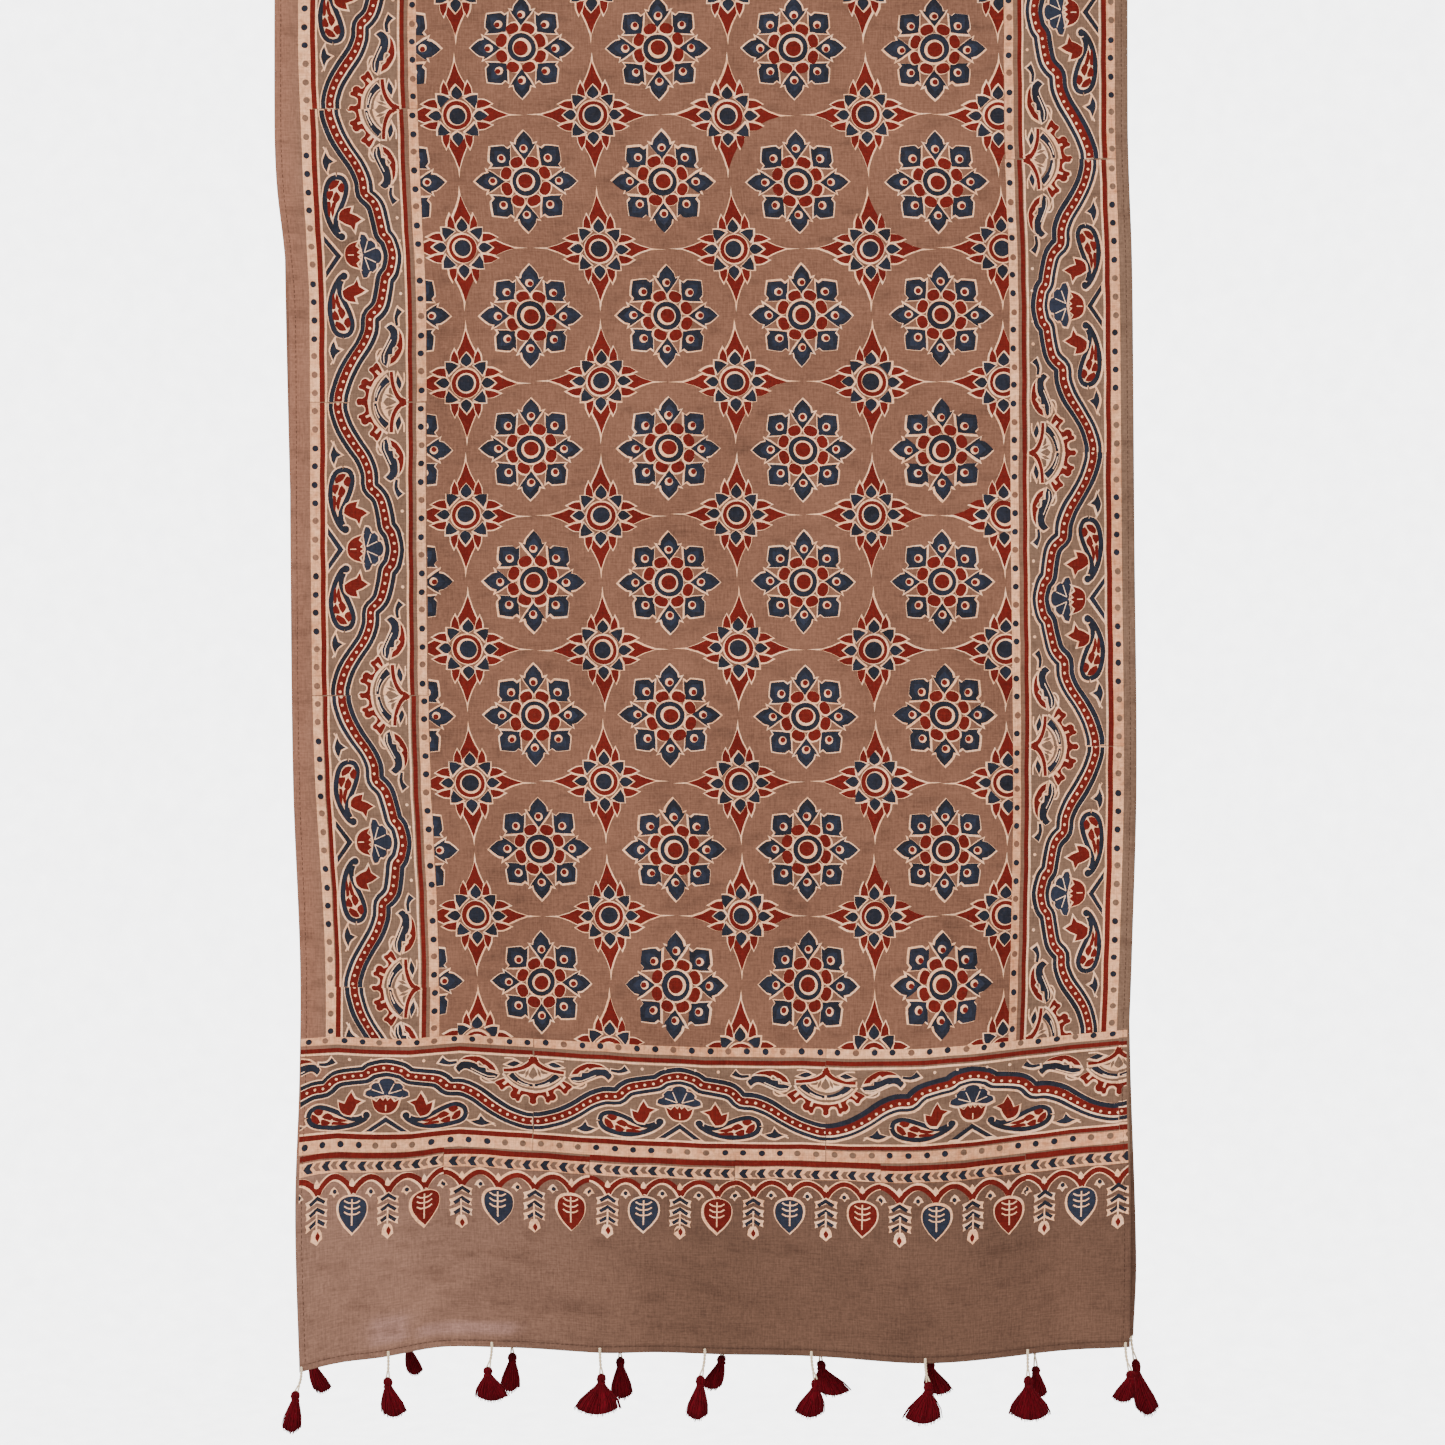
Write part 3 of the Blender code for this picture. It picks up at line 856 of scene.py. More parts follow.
def stripes():
    """The stripes along both sides of the vine, and the dots of the two peach ones."""
    shapes = []
    for ink, low, high in (
        ("peach", -13.3, -5.2),
        ("red", -5.0, -1.7),
        ("cream", -1.7, -0.4),
        ("cream", 51.6, 53.0),
        ("red", 53.4, 56.2),
        ("peach", 58.7, 64.7),
    ):
        shapes.append((ink, bar(-BLOCK_HALF, BLOCK_HALF, low, high)))
    for number in range(16):
        x = -BLOCK_HALF + 6.0 + number * 12.0
        shapes.append(("dark" if number % 7 > 2 else "ground", disc(x, -8.6, 2.15, 12)))
        shapes.append(("ground" if number % 3 == 1 else "dark", disc(x + 2.0, 61.7, 2.1, 12)))
    return shapes


def vine():
    """The waving vine: a red stem with cream dots between two dark bands."""
    path = VINE + [(-x, w) for x, w in reversed(VINE[:-1])]
    shapes = []
    for ink, half_width in (("cream", 6.9), ("dark", 6.1), ("frost", 3.2), ("red", 2.6)):
        shapes.append((ink, stroke(path, half_width)))
    line = curve(path, 6)
    lengths = np.concatenate(([0.0], np.cumsum(np.linalg.norm(np.diff(line, axis=0), axis=1))))
    for at in np.arange(2.8, lengths[-1], 5.6):
        x, w = (float(np.interp(at, lengths, line[:, axis])) for axis in (0, 1))
        shapes.append(("cream", disc(x, w, 0.95, 8)))
    return shapes


def paisley():
    """The curled paisley with its red cells, and the small leaf and tulip beside it."""
    left = [(-52.1, 10.3), (-50.3, 6.2), (-45.1, 3.4), (-34.8, 1.9), (-25.6, 3.4), (-18.7, 6.0), (-13.8, 9.2), (-12.6, 11.4)]
    right = [(-52.1, 10.3), (-50.8, 14.2), (-46.1, 16.3), (-40.2, 15.4), (-32.9, 12.6), (-24.7, 8.9), (-19.7, 8.6), (-15.7, 10.1)]
    body = np.vstack((curve(left[:6], 3), curve(right[:7], 3)[::-1]))
    cells = [
        outline([(-45.6, 5.9), (-48.4, 8.1), (-48.6, 11.6)], [(-45.6, 9.9), (-43.7, 6.3)], steps=2),
        outline([(-47.1, 13.3), (-45.6, 14.7), (-41.7, 13.7)], [(-42.7, 11.8), (-44.6, 11.4)], steps=2),
        outline([(-41.7, 4.4), (-42.0, 7.2)], [(-40.2, 7.1), (-36.8, 5.2)], [(-39.3, 4.1)], steps=2),
        outline([(-41.2, 9.7), (-38.3, 11.5), (-34.8, 9.4)], [(-36.3, 7.6), (-39.7, 8.6)], steps=2),
        outline([(-34.8, 4.4), (-28.1, 4.4)], [(-25.1, 5.0), (-33.9, 5.4)], steps=2),
        outline([(-33.9, 7.3), (-34.8, 8.9)], [(-30.0, 7.6), (-25.6, 6.9)], [(-30.0, 6.3)], steps=2),
    ]
    blob = disc(-13.0, 11.6, 2.5, 12)
    shapes = [("cream", stroke(left, 2.5)), ("cream", stroke(right, 2.5)), ("cream", grown(blob, 1.0))]
    shapes += [("cream", body)]
    shapes += [("dark", stroke(left, 1.65)), ("dark", stroke(right, 1.65)), ("dark", blob)]
    shapes += [("red", grown(cell, 0.6)) for cell in cells]
    leaf = outline(
        [(-68.6, 4.1), (-64.8, 5.7)], [(-61.9, 9.1)], [(-60.4, 6.0)], [(-55.2, 4.4)], [(-58.0, 2.8), (-62.4, 2.0)]
    )
    shapes += [("cream", stroke([(-71.5, 2.3), (-68.6, 4.1)], 0.5)), ("cream", stroke([(-55.2, 4.4), (-52.6, 5.4)], 0.5))]
    shapes += outlined("dark", [leaf], 1.0)
    tulip = outline(
        [(-23.2, 10.6), (-27.4, 11.2), (-30.2, 14.2)],
        [(-31.2, 19.4)],
        [(-27.2, 18.2)],
        [(-25.6, 22.4)],
        [(-23.2, 26.2)],
        [(-20.6, 22.0)],
        [(-15.8, 20.6)],
        [(-19.2, 18.4), (-20.6, 14.6)],
        steps=2,
    )
    shapes += outlined("red", [tulip], 1.0)
    return shapes


def acanthus():
    """The leaves between the vine and the upper stripes, beside the fan."""
    dark = outline(
        [(-72.4, 38.7), (-68.3, 39.9)],
        [(-64.6, 40.2)],
        [(-64.4, 42.7), (-60.0, 43.2)],
        [(-59.0, 45.0), (-53.3, 46.2), (-47.9, 45.6), (-44.5, 41.6)],
        [(-46.8, 38.3), (-49.1, 40.5), (-51.7, 41.2), (-55.2, 40.0), (-60.8, 37.4), (-65.5, 35.5), (-70.2, 36.0)],
        steps=2,
    )
    red = outline(
        [(-71.6, 41.2), (-69.3, 45.3), (-63.6, 49.0), (-59.0, 50.0), (-52.4, 49.2)],
        [(-48.8, 47.2), (-55.2, 47.2)],
        [(-59.2, 45.6), (-60.8, 47.0)],
        [(-63.6, 44.6), (-65.3, 44.4)],
        [(-67.4, 42.0)],
        steps=2,
    )
    side_leaf = outline([(-77.4, 46.0), (-82.4, 44.7)], [(-87.4, 47.3), (-82.8, 48.6)], steps=2)
    curl = stroke([(-45.4, 45.6), (-40.7, 45.0), (-37.4, 46.2), (-35.2, 47.8)], (0.9, 1.3, 2.2), 2)
    shapes = outlined("dark", [dark], 0.9)
    shapes += outlined("red", [red], 0.9)
    shapes += outlined("dark", [curl, side_leaf], 0.9)
    shapes.append(("frost", stroke([(-70.6, 37.2), (-66.0, 37.0), (-61.0, 38.8), (-55.0, 41.6)], 0.3)))
    shapes.append(("cream", stroke([(-87.6, 47.4), (-82.4, 50.2), (-76.7, 50.2)], 0.5, 2)))
    shapes.append(("cream", stroke([(-70.2, 32.8), (-65.0, 32.3), (-61.8, 34.0), (-61.4, 36.0)], 0.55, 2)))
    shapes += [("cream", disc(-24.7, 48.7, 1.1, 8)), ("cream", disc(-10.0, 49.4, 0.9, 8))]
    return shapes


def palmette():
    """The flower under the vine's crest: a red cup, a blue palmette of five lobes, and a chevron below."""
    cup = symmetric(
        [(0, 13.0), (4.0, 13.8), (7.2, 17.0)], [(9.0, 22.4)], [(5.8, 20.6)], [(3.4, 23.4)], [(1.4, 21.4)], [(0, 23.6)]
    )
    lobes = symmetric(
        [(0, 25.0), (5.0, 24.2), (10.0, 23.4)],
        [(14.4, 24.8), (13.8, 27.4), (10.4, 29.2)],
        [(10.6, 31.0), (8.2, 33.4), (5.2, 33.6)],
        [(4.8, 35.2), (2.6, 36.6), (0, 37.0)],
    )
    chevron = np.array([(-14.2, 0.2), (-9.6, 0.2), (0, 6.8), (9.6, 0.2), (14.2, 0.2), (0, 10.6)])
    shapes = outlined("dark", [chevron], 0.95)
    shapes += outlined("blue", [lobes], 0.9)
    for tip in ((9.6, 28.6), (4.8, 33.0)):
        line = stroke([(1.6, 26.0), tip], 0.28)
        shapes += [("frost", both) for both in mirrored(line)]
    shapes += outlined("red", [cup], 0.85)
    shapes.append(("cream", bar(-0.35, 0.35, 14.6, 18.6)))
    return shapes


FAN_CENTRE = (-96.0, 51.4)
# The crown's outer edge from its middle to one side: degrees, radius
CROWN = [
    (0.0, 32.4), (3.4, 31.2), (3.4, 28.6), (6.0, 27.0), (9.0, 26.6), (13.8, 27.2), (15.6, 29.6), (15.6, 31.8),
    (18.6, 32.6), (21.2, 31.4), (24.4, 32.0), (28.6, 31.2), (30.4, 29.2), (29.6, 27.2), (32.4, 26.0), (37.4, 26.0),
    (40.0, 28.0), (40.4, 31.0), (43.2, 31.8), (47.2, 31.0), (53.6, 31.6), (53.8, 28.6),
]
CROWN_INSIDE = 24.7


def polar(degrees, radius):
    """A place on the fan: degrees from straight down, to the right, and the radius."""
    angle = math.radians(degrees)
    return FAN_CENTRE[0] + radius * math.sin(angle), FAN_CENTRE[1] - radius * math.cos(angle)


def arc(start, end, radius, half_width, step=8.0):
    angles = [*spaced(start, end, step), end]
    inner = [polar(angle, radius - half_width) for angle in angles]
    outer = [polar(angle, radius + half_width) for angle in reversed(angles)]
    return np.array(inner + outer)


def fan():
    """The fan at the block's seam: a meandering red crown round a half flower, with a stem to each side."""
    rim = [(-angle, radius) for angle, radius in CROWN[:0:-1]] + CROWN
    inside = [(angle, CROWN_INSIDE) for angle in (52, 35, 18, 0, -18, -35, -52)]
    crown = np.vstack((curve([polar(*place) for place in rim], 2), [polar(*place) for place in inside]))
    shapes = outlined("red", [crown], 0.85)
    shapes.append(("cream", arc(-60, 60, 23.7, 0.75)))
    for side in (-1, 1):
        shapes.append(("cream", stroke([polar(side * 46.0, 24.4), polar(side * 46.0, 28.2)], 0.95)))
        shapes.append(("cream", stroke([polar(side * 21.0, 24.4), polar(side * 21.0, 27.8)], 0.75)))
        tail = [polar(side * 54.0, 32.4), polar(side * 59.5, 34.4), polar(side * 64.0, 36.4)]
        shapes.append(("cream", stroke(tail, 0.55)))
        band = stroke([polar(side * angle, 19.6) for angle in (2, 14, 28, 42, 53)], (0.9, 1.5, 2.2))
        shapes += outlined("dark", [band], 0.6)
        shapes.append(("frost", stroke([polar(side * angle, 20.0) for angle in (8, 20, 32)], 0.35)))
    shapes.append(("cream", arc(-56, 56, 9.6, 6.4)))
    for angle in (-40, 0, 40):
        petal = symmetric([(0, 6.2)], [(1.6, 8.8), (2.9, 12.4), (0, 14.8)]) * (1, -1)
        shapes.append(("ground", turned(petal, math.radians(angle)) + FAN_CENTRE))
    for angle in (-20, 20):
        sliver = symmetric([(0, 8.0)], [(1.1, 11.6), (0, 15.0)]) * (1, -1)
        shapes.append(("ground", turned(sliver, math.radians(angle)) + FAN_CENTRE))
    stem = [(-96.2, 51.6), (-94.2, 47.6), (-90.5, 44.9), (-85.4, 43.0), (-80.3, 42.2), (-76.3, 42.0)]
    shapes += outlined("red", [stroke(stem, (1.7, 1.25, 1.1))], 0.8)
    shapes.append(("red", np.array([polar(-60, 3.4), polar(0, 4.6), polar(60, 3.4), polar(0, -1.0)])))
    return shapes


def border_block():
    """One whole repeat of the border: stripes, the half fan at each seam, and the vine with its flowers."""
    shapes = stripes()
    for ink, shape in vine() + palmette():
        shapes.append((ink, shape))
    for ink, shape in fan() + acanthus() + paisley():
        shapes += [(ink, both) for both in mirrored(shape)]
    return shapes


# The band below the end border: x from the middle of four cusps, y the flat place along

SCALLOP_TOP = 115.2
CUSP_BOTTOM = 105.6


def scallops():
    """Four arches in red between cream lines, a cream peak above each cusp and a small star in each arch."""
    shapes = []
    arches = []
    for number in range(-3, 2):
        cusp = (number + 0.5) * CUSP_PITCH
        arch = []
        for share in (0.0, 0.07, 0.18, 0.34, 0.5, 0.66, 0.82, 0.93, 1.0):
            rise = math.sin(math.pi * share) ** 0.75
            arch.append((cusp + share * CUSP_PITCH, CUSP_BOTTOM + (SCALLOP_TOP - CUSP_BOTTOM) * rise))
        arches.append(arch)
    for ink, half_width in (("cream", 2.45), ("red", 1.7)):
        shapes += [(ink, stroke(arch, half_width, 2)) for arch in arches]
    for number in range(-2, 3):
        cusp = (number - 0.5) * CUSP_PITCH
        peak = symmetric([(0, 109.6), (1.7, 110.4)], [(1.5, 112.6), (0, 114.8)], steps=2)
        shapes.append(("cream", peak + (cusp, 0)))
        middle = cusp + CUSP_PITCH / 2
        points = [(0, 3.0), (-2.0, 1.5), (-3.6, -1.2), (-1.7, -1.4), (0, -3.4), (1.7, -1.4), (3.6, -1.2), (2.0, 1.5)]
        shapes.append(("cream", np.array(points) + (middle, 106.4)))
        shapes.append(("dark", disc(middle, 106.6, 1.5, 10)))
    return shapes


def end_leaf(x, ink):
    """A hanging leaf with a cream outline, stem and veins."""
    leaf = symmetric([(0, -24.6)], [(4.6, -20.2), (8.3, -14.8), (9.5, -9.8), (8.4, -5.2), (4.6, -2.6), (0, -1.8)])
    shapes = outlined(ink, [leaf], 1.1)
    shapes.append(("cream", bar(-0.45, 0.45, -20.0, -3.6)))
    for foot in (-4.6, -8.2, -11.8):
        vein = stroke([(0, foot - 1.6), (2.6, foot - 1.4), (5.2, foot)], 0.45)
        shapes += [("cream", both) for both in mirrored(vein)]
    return [(each, shape + (x, CUSP_BOTTOM)) for each, shape in shapes]


def fern(x):
    """A hanging fern of three fronds, each with a dark chevron, and a red-hearted blossom at its foot."""
    frond = symmetric([(0, -3.6)], [(4.6, -5.8)], [(7.8, -7.2)], [(7.2, -4.6)], [(8.2, -2.0)], [(4.4, -1.0)], [(0, 1.1)])
    chevron = symmetric([(0, -2.1)], [(4.4, -4.9)], [(5.8, -3.0)], [(0, 0.7)])
    shapes = []
    for depth in (1.0, 7.7, 14.4):
        shapes += [("cream", frond * (0.92, 0.88) - (0, depth)), ("dark", chevron - (0, depth))]
    shapes.append(("cream", bar(-0.5, 0.5, -21.0, -9.6)))
    blossom = symmetric([(0, -29.4)], [(2.2, -27.4)], [(4.0, -26.2), (3.4, -22.4)], [(1.8, -20.0)], [(0, -20.2)])
    drop = symmetric([(0, -27.6), (1.6, -24.6), (0, -21.8)])
    shapes += [("cream", blossom), ("red", drop)]
    return [(each, shape + (x, CUSP_BOTTOM)) for each, shape in shapes]


def end_band():
    """One repeat of the rows between the end border and the plain end."""
    half = BAND_REPEAT / 2
    shapes = [("red", bar(-half, half, 126.7, 130.2)), ("peach", bar(-half, half, 118.0, 126.0))]
    arrow = np.array([(-3.4, 0), (-0.8, -3.0), (3.3, -3.1), (1.2, 0), (3.4, 3.2), (-0.6, 3.0)])
    for number in range(8):
        x = (number - 3.5) * BAND_REPEAT / 8
        shapes.append(("dark", arrow + (x, 122.0)))
        shapes.append(("ground", arrow * 0.8 + (x + BAND_REPEAT / 16, 122.0)))
    shapes += scallops()
    shapes += fern(-1.5 * CUSP_PITCH) + end_leaf(-0.5 * CUSP_PITCH, "blue")
    shapes += fern(0.5 * CUSP_PITCH) + end_leaf(1.5 * CUSP_PITCH, "red")
    return shapes


# Laying the print


class InkLayer:
    """The triangles of one ink on one half of the cloth, at flat places, with a tone for each."""

    def __init__(self):
        self.places, self.faces, self.tones = [], [], []
        self.count = 0

    def add(self, places, faces, tones):
        used, faces = np.unique(faces, return_inverse=True)
        self.places.append(places[used])
        self.faces.append(faces.reshape(-1, 3) + self.count)
        self.tones.append(tones)
        self.count += len(used)


LAYERS = {(ink, half): InkLayer() for ink in ("cream", "red", "indigo") for half in ("front", "back")}


def waver(points, phases):
    """A small smooth unevenness, as of a block pressed by hand."""
    x, y = points[:, 0], points[:, 1]
    over = np.sin(x / 5.1 + phases[0]) + np.sin(y / 7.3 + phases[1])
    up = np.sin(x / 6.7 + phases[2]) + np.sin(y / 4.6 + phases[3])
    return WOBBLE * np.column_stack((over, up))


def drifted(places):
    """Flat places moved as the whole print strays."""
    drift = read_table(PRINT_DRIFT, places[:, 1], 1) * (1 - places[:, 0] / FLAT_WIDTH)
    from_end = np.minimum(places[:, 1], FLAT_LENGTH - places[:, 1])
    rise = read_table(END_RIPPLE, places[:, 0], 1) * (1 - eased(from_end, 205, 300))
    return places + np.column_stack((drift, rise))


def frame_of(left, low, right, high, step=16.0):
    """A rectangle with points along its sides."""
    bottom = [(x, low) for x in spaced(left, right, step)]
    right_side = [(right, y) for y in spaced(low, high, step)]
    top = [(left + right - x, high) for x in spaced(left, right, step)]
    left_side = [(left, low + high - y) for y in spaced(low, high, step)]
    return np.array(bottom + right_side + top + left_side)


def lay(motif, origin, x_axis, y_axis, region, rng):
    """Prints a motif: its outlines, painted over one another, as triangles inside the region.

    region is left, low, right, high on the flat cloth. No triangle crosses a line of the cloth's grid.
    """
    left, low, right, high = region
    if left >= right or low >= high:
        return
    slips = {ink: (rng.uniform(-SLIP, SLIP), rng.uniform(-SLIP, SLIP)) for ink in ("cream", "red", "indigo", None)}
    phases = [rng.uniform(0, 2 * math.pi) for _ in range(4)]
    outlines = [drifted(frame_of(*region))]
    inks, tones = [None], [0.0]
    for ink, shape in motif:
        piece, tone = INKS[ink]
        uneven = shape + waver(shape, phases)
        placed = np.array(origin) + uneven[:, :1] * x_axis + uneven[:, 1:] * y_axis + slips[piece]
        shape_tone = tone + rng.uniform(-0.12, 0.12)
        if (placed.max(axis=0) <= (left, low)).any() or (placed.min(axis=0) >= (right, high)).any():
            continue
        placed = drifted(placed)
        outlines.append(placed if signed_area(placed) > 0 else placed[::-1])
        inks.append(piece)
        tones.append(shape_tone)
    verts, edges, faces = [], [], []
    for points in outlines:
        faces.append(list(range(len(verts), len(verts) + len(points))))
        verts += [Vector(point) for point in points.tolist()]
    (left, low), (right, high) = outlines[0].min(axis=0), outlines[0].max(axis=0)
    lines = [((x, low), (x, high)) for x in COLUMNS if left < x < right]
    lines += [((left, y), (right, y)) for y in ROWS if low < y < high]
    for start, end in lines:
        edges.append((len(verts), len(verts) + 1))
        verts += [Vector(start), Vector(end)]
    made = delaunay_2d_cdt(verts, edges, faces, 1, 1e-4, True)
    places = np.array([tuple(vert) for vert in made[0]])
    top = [max(ids) if ids and 0 in ids else 0 for ids in made[5]]
    half = "front" if (low + high) / 2 < MIDDLE_ALONG else "back"
    for piece in ("cream", "red", "indigo"):
        chosen = [index for index, shape in enumerate(top) if inks[shape] == piece]
        if chosen:
            triangles = np.array([made[2][index] for index in chosen])
            LAYERS[piece, half].add(places, triangles, [tones[top[index]] for index in chosen])


def overlap(region, other):
    """The part of one region inside another."""
    return (max(region[0], other[0]), max(region[1], other[1]), min(region[2], other[2]), min(region[3], other[3]))


def lay_field(rng):
    """Medallions and stars in rows up the whole length, cut off at the borders."""
    field = (FIELD_LEFT, END_BORDER_TOP, FIELD_RIGHT, FLAT_LENGTH - END_BORDER_TOP)
    for motif, columns, first, reach in (
        (medallion(), MEDALLION_COLUMNS, FIRST_MEDALLION_ROW, (36.5, 36.5)),
        (star(), STAR_COLUMNS, FIRST_STAR_ROW, (44.4, 43.6)),
    ):
        for row in range(math.ceil((FLAT_LENGTH - 2 * END_BORDER_FOOT) / ROW_PITCH)):
            for column in columns:
                x = column + rng.uniform(-0.6, 0.6)
                y = first + row * ROW_PITCH + rng.uniform(-0.6, 0.6)
                lean = rng.uniform(-0.012, 0.012)
                region = (x - reach[0], y - reach[1], x + reach[0], y + reach[1])
                x_axis, y_axis = np.array((1.0, lean)), np.array((-lean, 1.0))
                lay(motif, (x, y), x_axis, y_axis, overlap(region, field), rng)


def lay_side_borders(rng):
    """The border block up each side, its vine's foot towards the selvedge."""
    block = border_block()
    for foot, inwards, seam, repeat in (
        (LEFT_BORDER_FOOT, 1.0, LEFT_SEAM, LEFT_REPEAT),
        (RIGHT_BORDER_FOOT, -NARROWED, RIGHT_SEAM, RIGHT_REPEAT),
    ):
        ends = sorted((foot + BLOCK_LOW * inwards, foot + BLOCK_HIGH * inwards))
        border = (ends[0], END_BORDER_TOP, ends[1], FLAT_LENGTH - END_BORDER_TOP)
        start = seam - repeat
        while start < FLAT_LENGTH - END_BORDER_TOP:
            place = (foot + rng.uniform(-0.5, 0.5), start + repeat / 2)
            region = overlap((0, start, FLAT_WIDTH, start + repeat), border)
            x_axis = np.array((rng.uniform(-0.003, 0.003), repeat / (2 * BLOCK_HALF)))
            lay(block, place, x_axis, np.array((inwards, 0.0)), region, rng)
            start += repeat


def lay_ends(rng):
    """The border block and the band below it, across each end, the back end turned half round."""
    block, band = border_block(), end_band()
    for turn, corner in ((1.0, (0.0, 0.0)), (-1.0, (FLAT_WIDTH, FLAT_LENGTH))):
        for motif, first, repeat, low, high, foot, stretch in (
            (block, END_SEAM, END_REPEAT, BAND_TOP, END_BORDER_TOP, END_BORDER_FOOT, (1.0, NARROWED)),
            (band, BAND_START, BAND_REPEAT, BAND_LOW, BAND_TOP, 0.0, (1.0, 1.0)),
        ):
            start = first
            while start < FLAT_WIDTH:
                length = 2 * BLOCK_HALF if motif is block else BAND_REPEAT
                x_axis = np.array((repeat / length, rng.uniform(-0.003, 0.003)))
                shift = rng.uniform(-0.5, 0.5)
                middle = np.array((start + repeat / 2, foot + shift))
                ends = (max(start, PRINT_LEFT), min(start + repeat, PRINT_RIGHT))
                a, b = (corner + turn * np.array(place) for place in ((ends[0], low), (ends[1], high)))
                region = (*np.minimum(a, b), *np.maximum(a, b))
                if ends[0] < ends[1]:
                    y_axis = np.array((0.0, stretch[1]))
                    lay(motif, corner + turn * middle, turn * x_axis, turn * y_axis, region, rng)
                start += repeat


def make_print(ink, half, material):
    """One ink's layer as a piece that lies on the outer face."""
    layer = LAYERS[ink, half]
    places = np.concatenate(layer.places)
    faces = np.concatenate(layer.faces)
    normals = on_grid(NORMALS, places)
    normals /= np.linalg.norm(normals, axis=1, keepdims=True)
    points = on_grid(OUTER, places) + normals * PRINT_LIFT * MM
    piece = make_piece(f"print_{ink}_{half}", points, faces, material)
    corners = places[faces]
    start = 0.0 if half == "front" else MIDDLE_ALONG - CELL * 8
    add_uvs(piece.data, "flat", corners * MM)
    size = (FLAT_WIDTH, MIDDLE_ALONG + CELL * 8)
    add_uvs(piece.data, "OFBake", 0.01 + 0.98 * (corners - (0.0, start)) / size)
    tones = piece.data.attributes.new("tone", "FLOAT", "FACE")
    tones.data.foreach_set("value", np.concatenate(layer.tones))
    piece.data.normals_split_custom_set_from_vertices([tuple(normal) for normal in normals])
    return dress(piece)


# Threads and tassels


class Tubes:
    """Many thin tubes gathered into one mesh."""

    def __init__(self):
        self.verts, self.faces = [], []

    def add(self, line, radii, sides=3, turn=0.0):
        """A closed tube along a line of points, with a radius for each."""
        line = np.asarray(line, float)
        along = np.gradient(line, axis=0)
        along /= np.linalg.norm(along, axis=1, keepdims=True)
        side = np.cross(along, (0.0, 1.0, 0.0))
        side /= np.linalg.norm(side, axis=1, keepdims=True)
        other = np.cross(along, side)
        first = len(self.verts)
        for point, across, over, radius in zip(line, side, other, radii):
            for corner in range(sides):
                angle = turn + 2 * math.pi * corner / sides
                self.verts.append(point + radius * (math.cos(angle) * across + math.sin(angle) * over))
        for ring in range(len(line) - 1):
            for corner in range(sides):
                a = first + ring * sides + corner
                b = first + ring * sides + (corner + 1) % sides
                self.faces.append((a, b, b + sides, a + sides))
        self.faces.append(tuple(first + corner for corner in reversed(range(sides))))
        last = first + (len(line) - 1) * sides
        self.faces.append(tuple(last + corner for corner in range(sides)))

    def make(self, name, material):
        return make_piece(name, self.verts, self.faces, material)


def hem_place(x, front):
    """The hem's lower edge at a place across, in metres."""
    row = MIDDLE[0] if front else MIDDLE[-1]
    return np.array([np.interp(x, row[:, 0], row[:, axis]) for axis in range(3)])


THREAD_RADIUS = 0.00058
PLY_RINGS = 26
PLY_TURNS = 5.0
THREAD_START = 0.0032


def make_thread(name, hem, head, front, material):
    """Two twisted plies from a small knot on the hem's face, over its edge and down to the tassel."""
    outward = -1.0 if front else 1.0
    face = hem + (0.0, outward * 0.0009, THREAD_START)
    path = np.vstack((face, hem + (0.0, outward * 0.0009, 0.0003), hem * 0.5 + head * 0.5, head - (0, 0, 0.0016)))
    path[2, 0] = hem[0] + (head[0] - hem[0]) * 0.25
    line = curve(path, 9)
    shares = np.linspace(0, len(line) - 1, PLY_RINGS)
    line = np.column_stack([np.interp(shares, np.arange(len(line)), line[:, axis]) for axis in range(3)])
    tubes = Tubes()
    down = np.linspace(0, 1, PLY_RINGS)
    spread = THREAD_RADIUS * (0.9 + 1.1 * eased(down, 0.78, 1.0))
    for ply in range(2):
        angle = math.pi * ply + 2 * math.pi * PLY_TURNS * np.minimum(down, 0.8)
        twist = np.column_stack((np.cos(angle) * spread, np.sin(angle) * spread * 0.8, np.zeros(PLY_RINGS)))
        tubes.add(line + twist, np.full(PLY_RINGS, THREAD_RADIUS), sides=5)
    knot = [face + (0, 0, 0.0005), face + (0, outward * 0.0002, 0), face - (0, 0, 0.0007)]
    tubes.add(knot, (0.0005, 0.0010, 0.0006), sides=6)
    return tubes.make(name, material)


# A tassel's profile: share of its length down, share of the head's half width, share of the spread
TASSEL_PROFILE = [
    (0.00, 0.30, 0.00),
    (0.05, 0.85, 0.00),
    (0.13, 1.00, 0.00),
    (0.22, 0.72, 0.00),
    (0.34, 0.92, 0.10),
    (0.52, 0.95, 0.40),
    (0.76, 0.95, 0.78),
    (1.00, 0.95, 1.00),
]
HEAD_HALF = 0.0028
TASSEL_FLATNESS = 0.42
LEAST_HALF_DEPTH = 0.0030
STRANDS = 84
STRAND_RADIUS = 0.00036


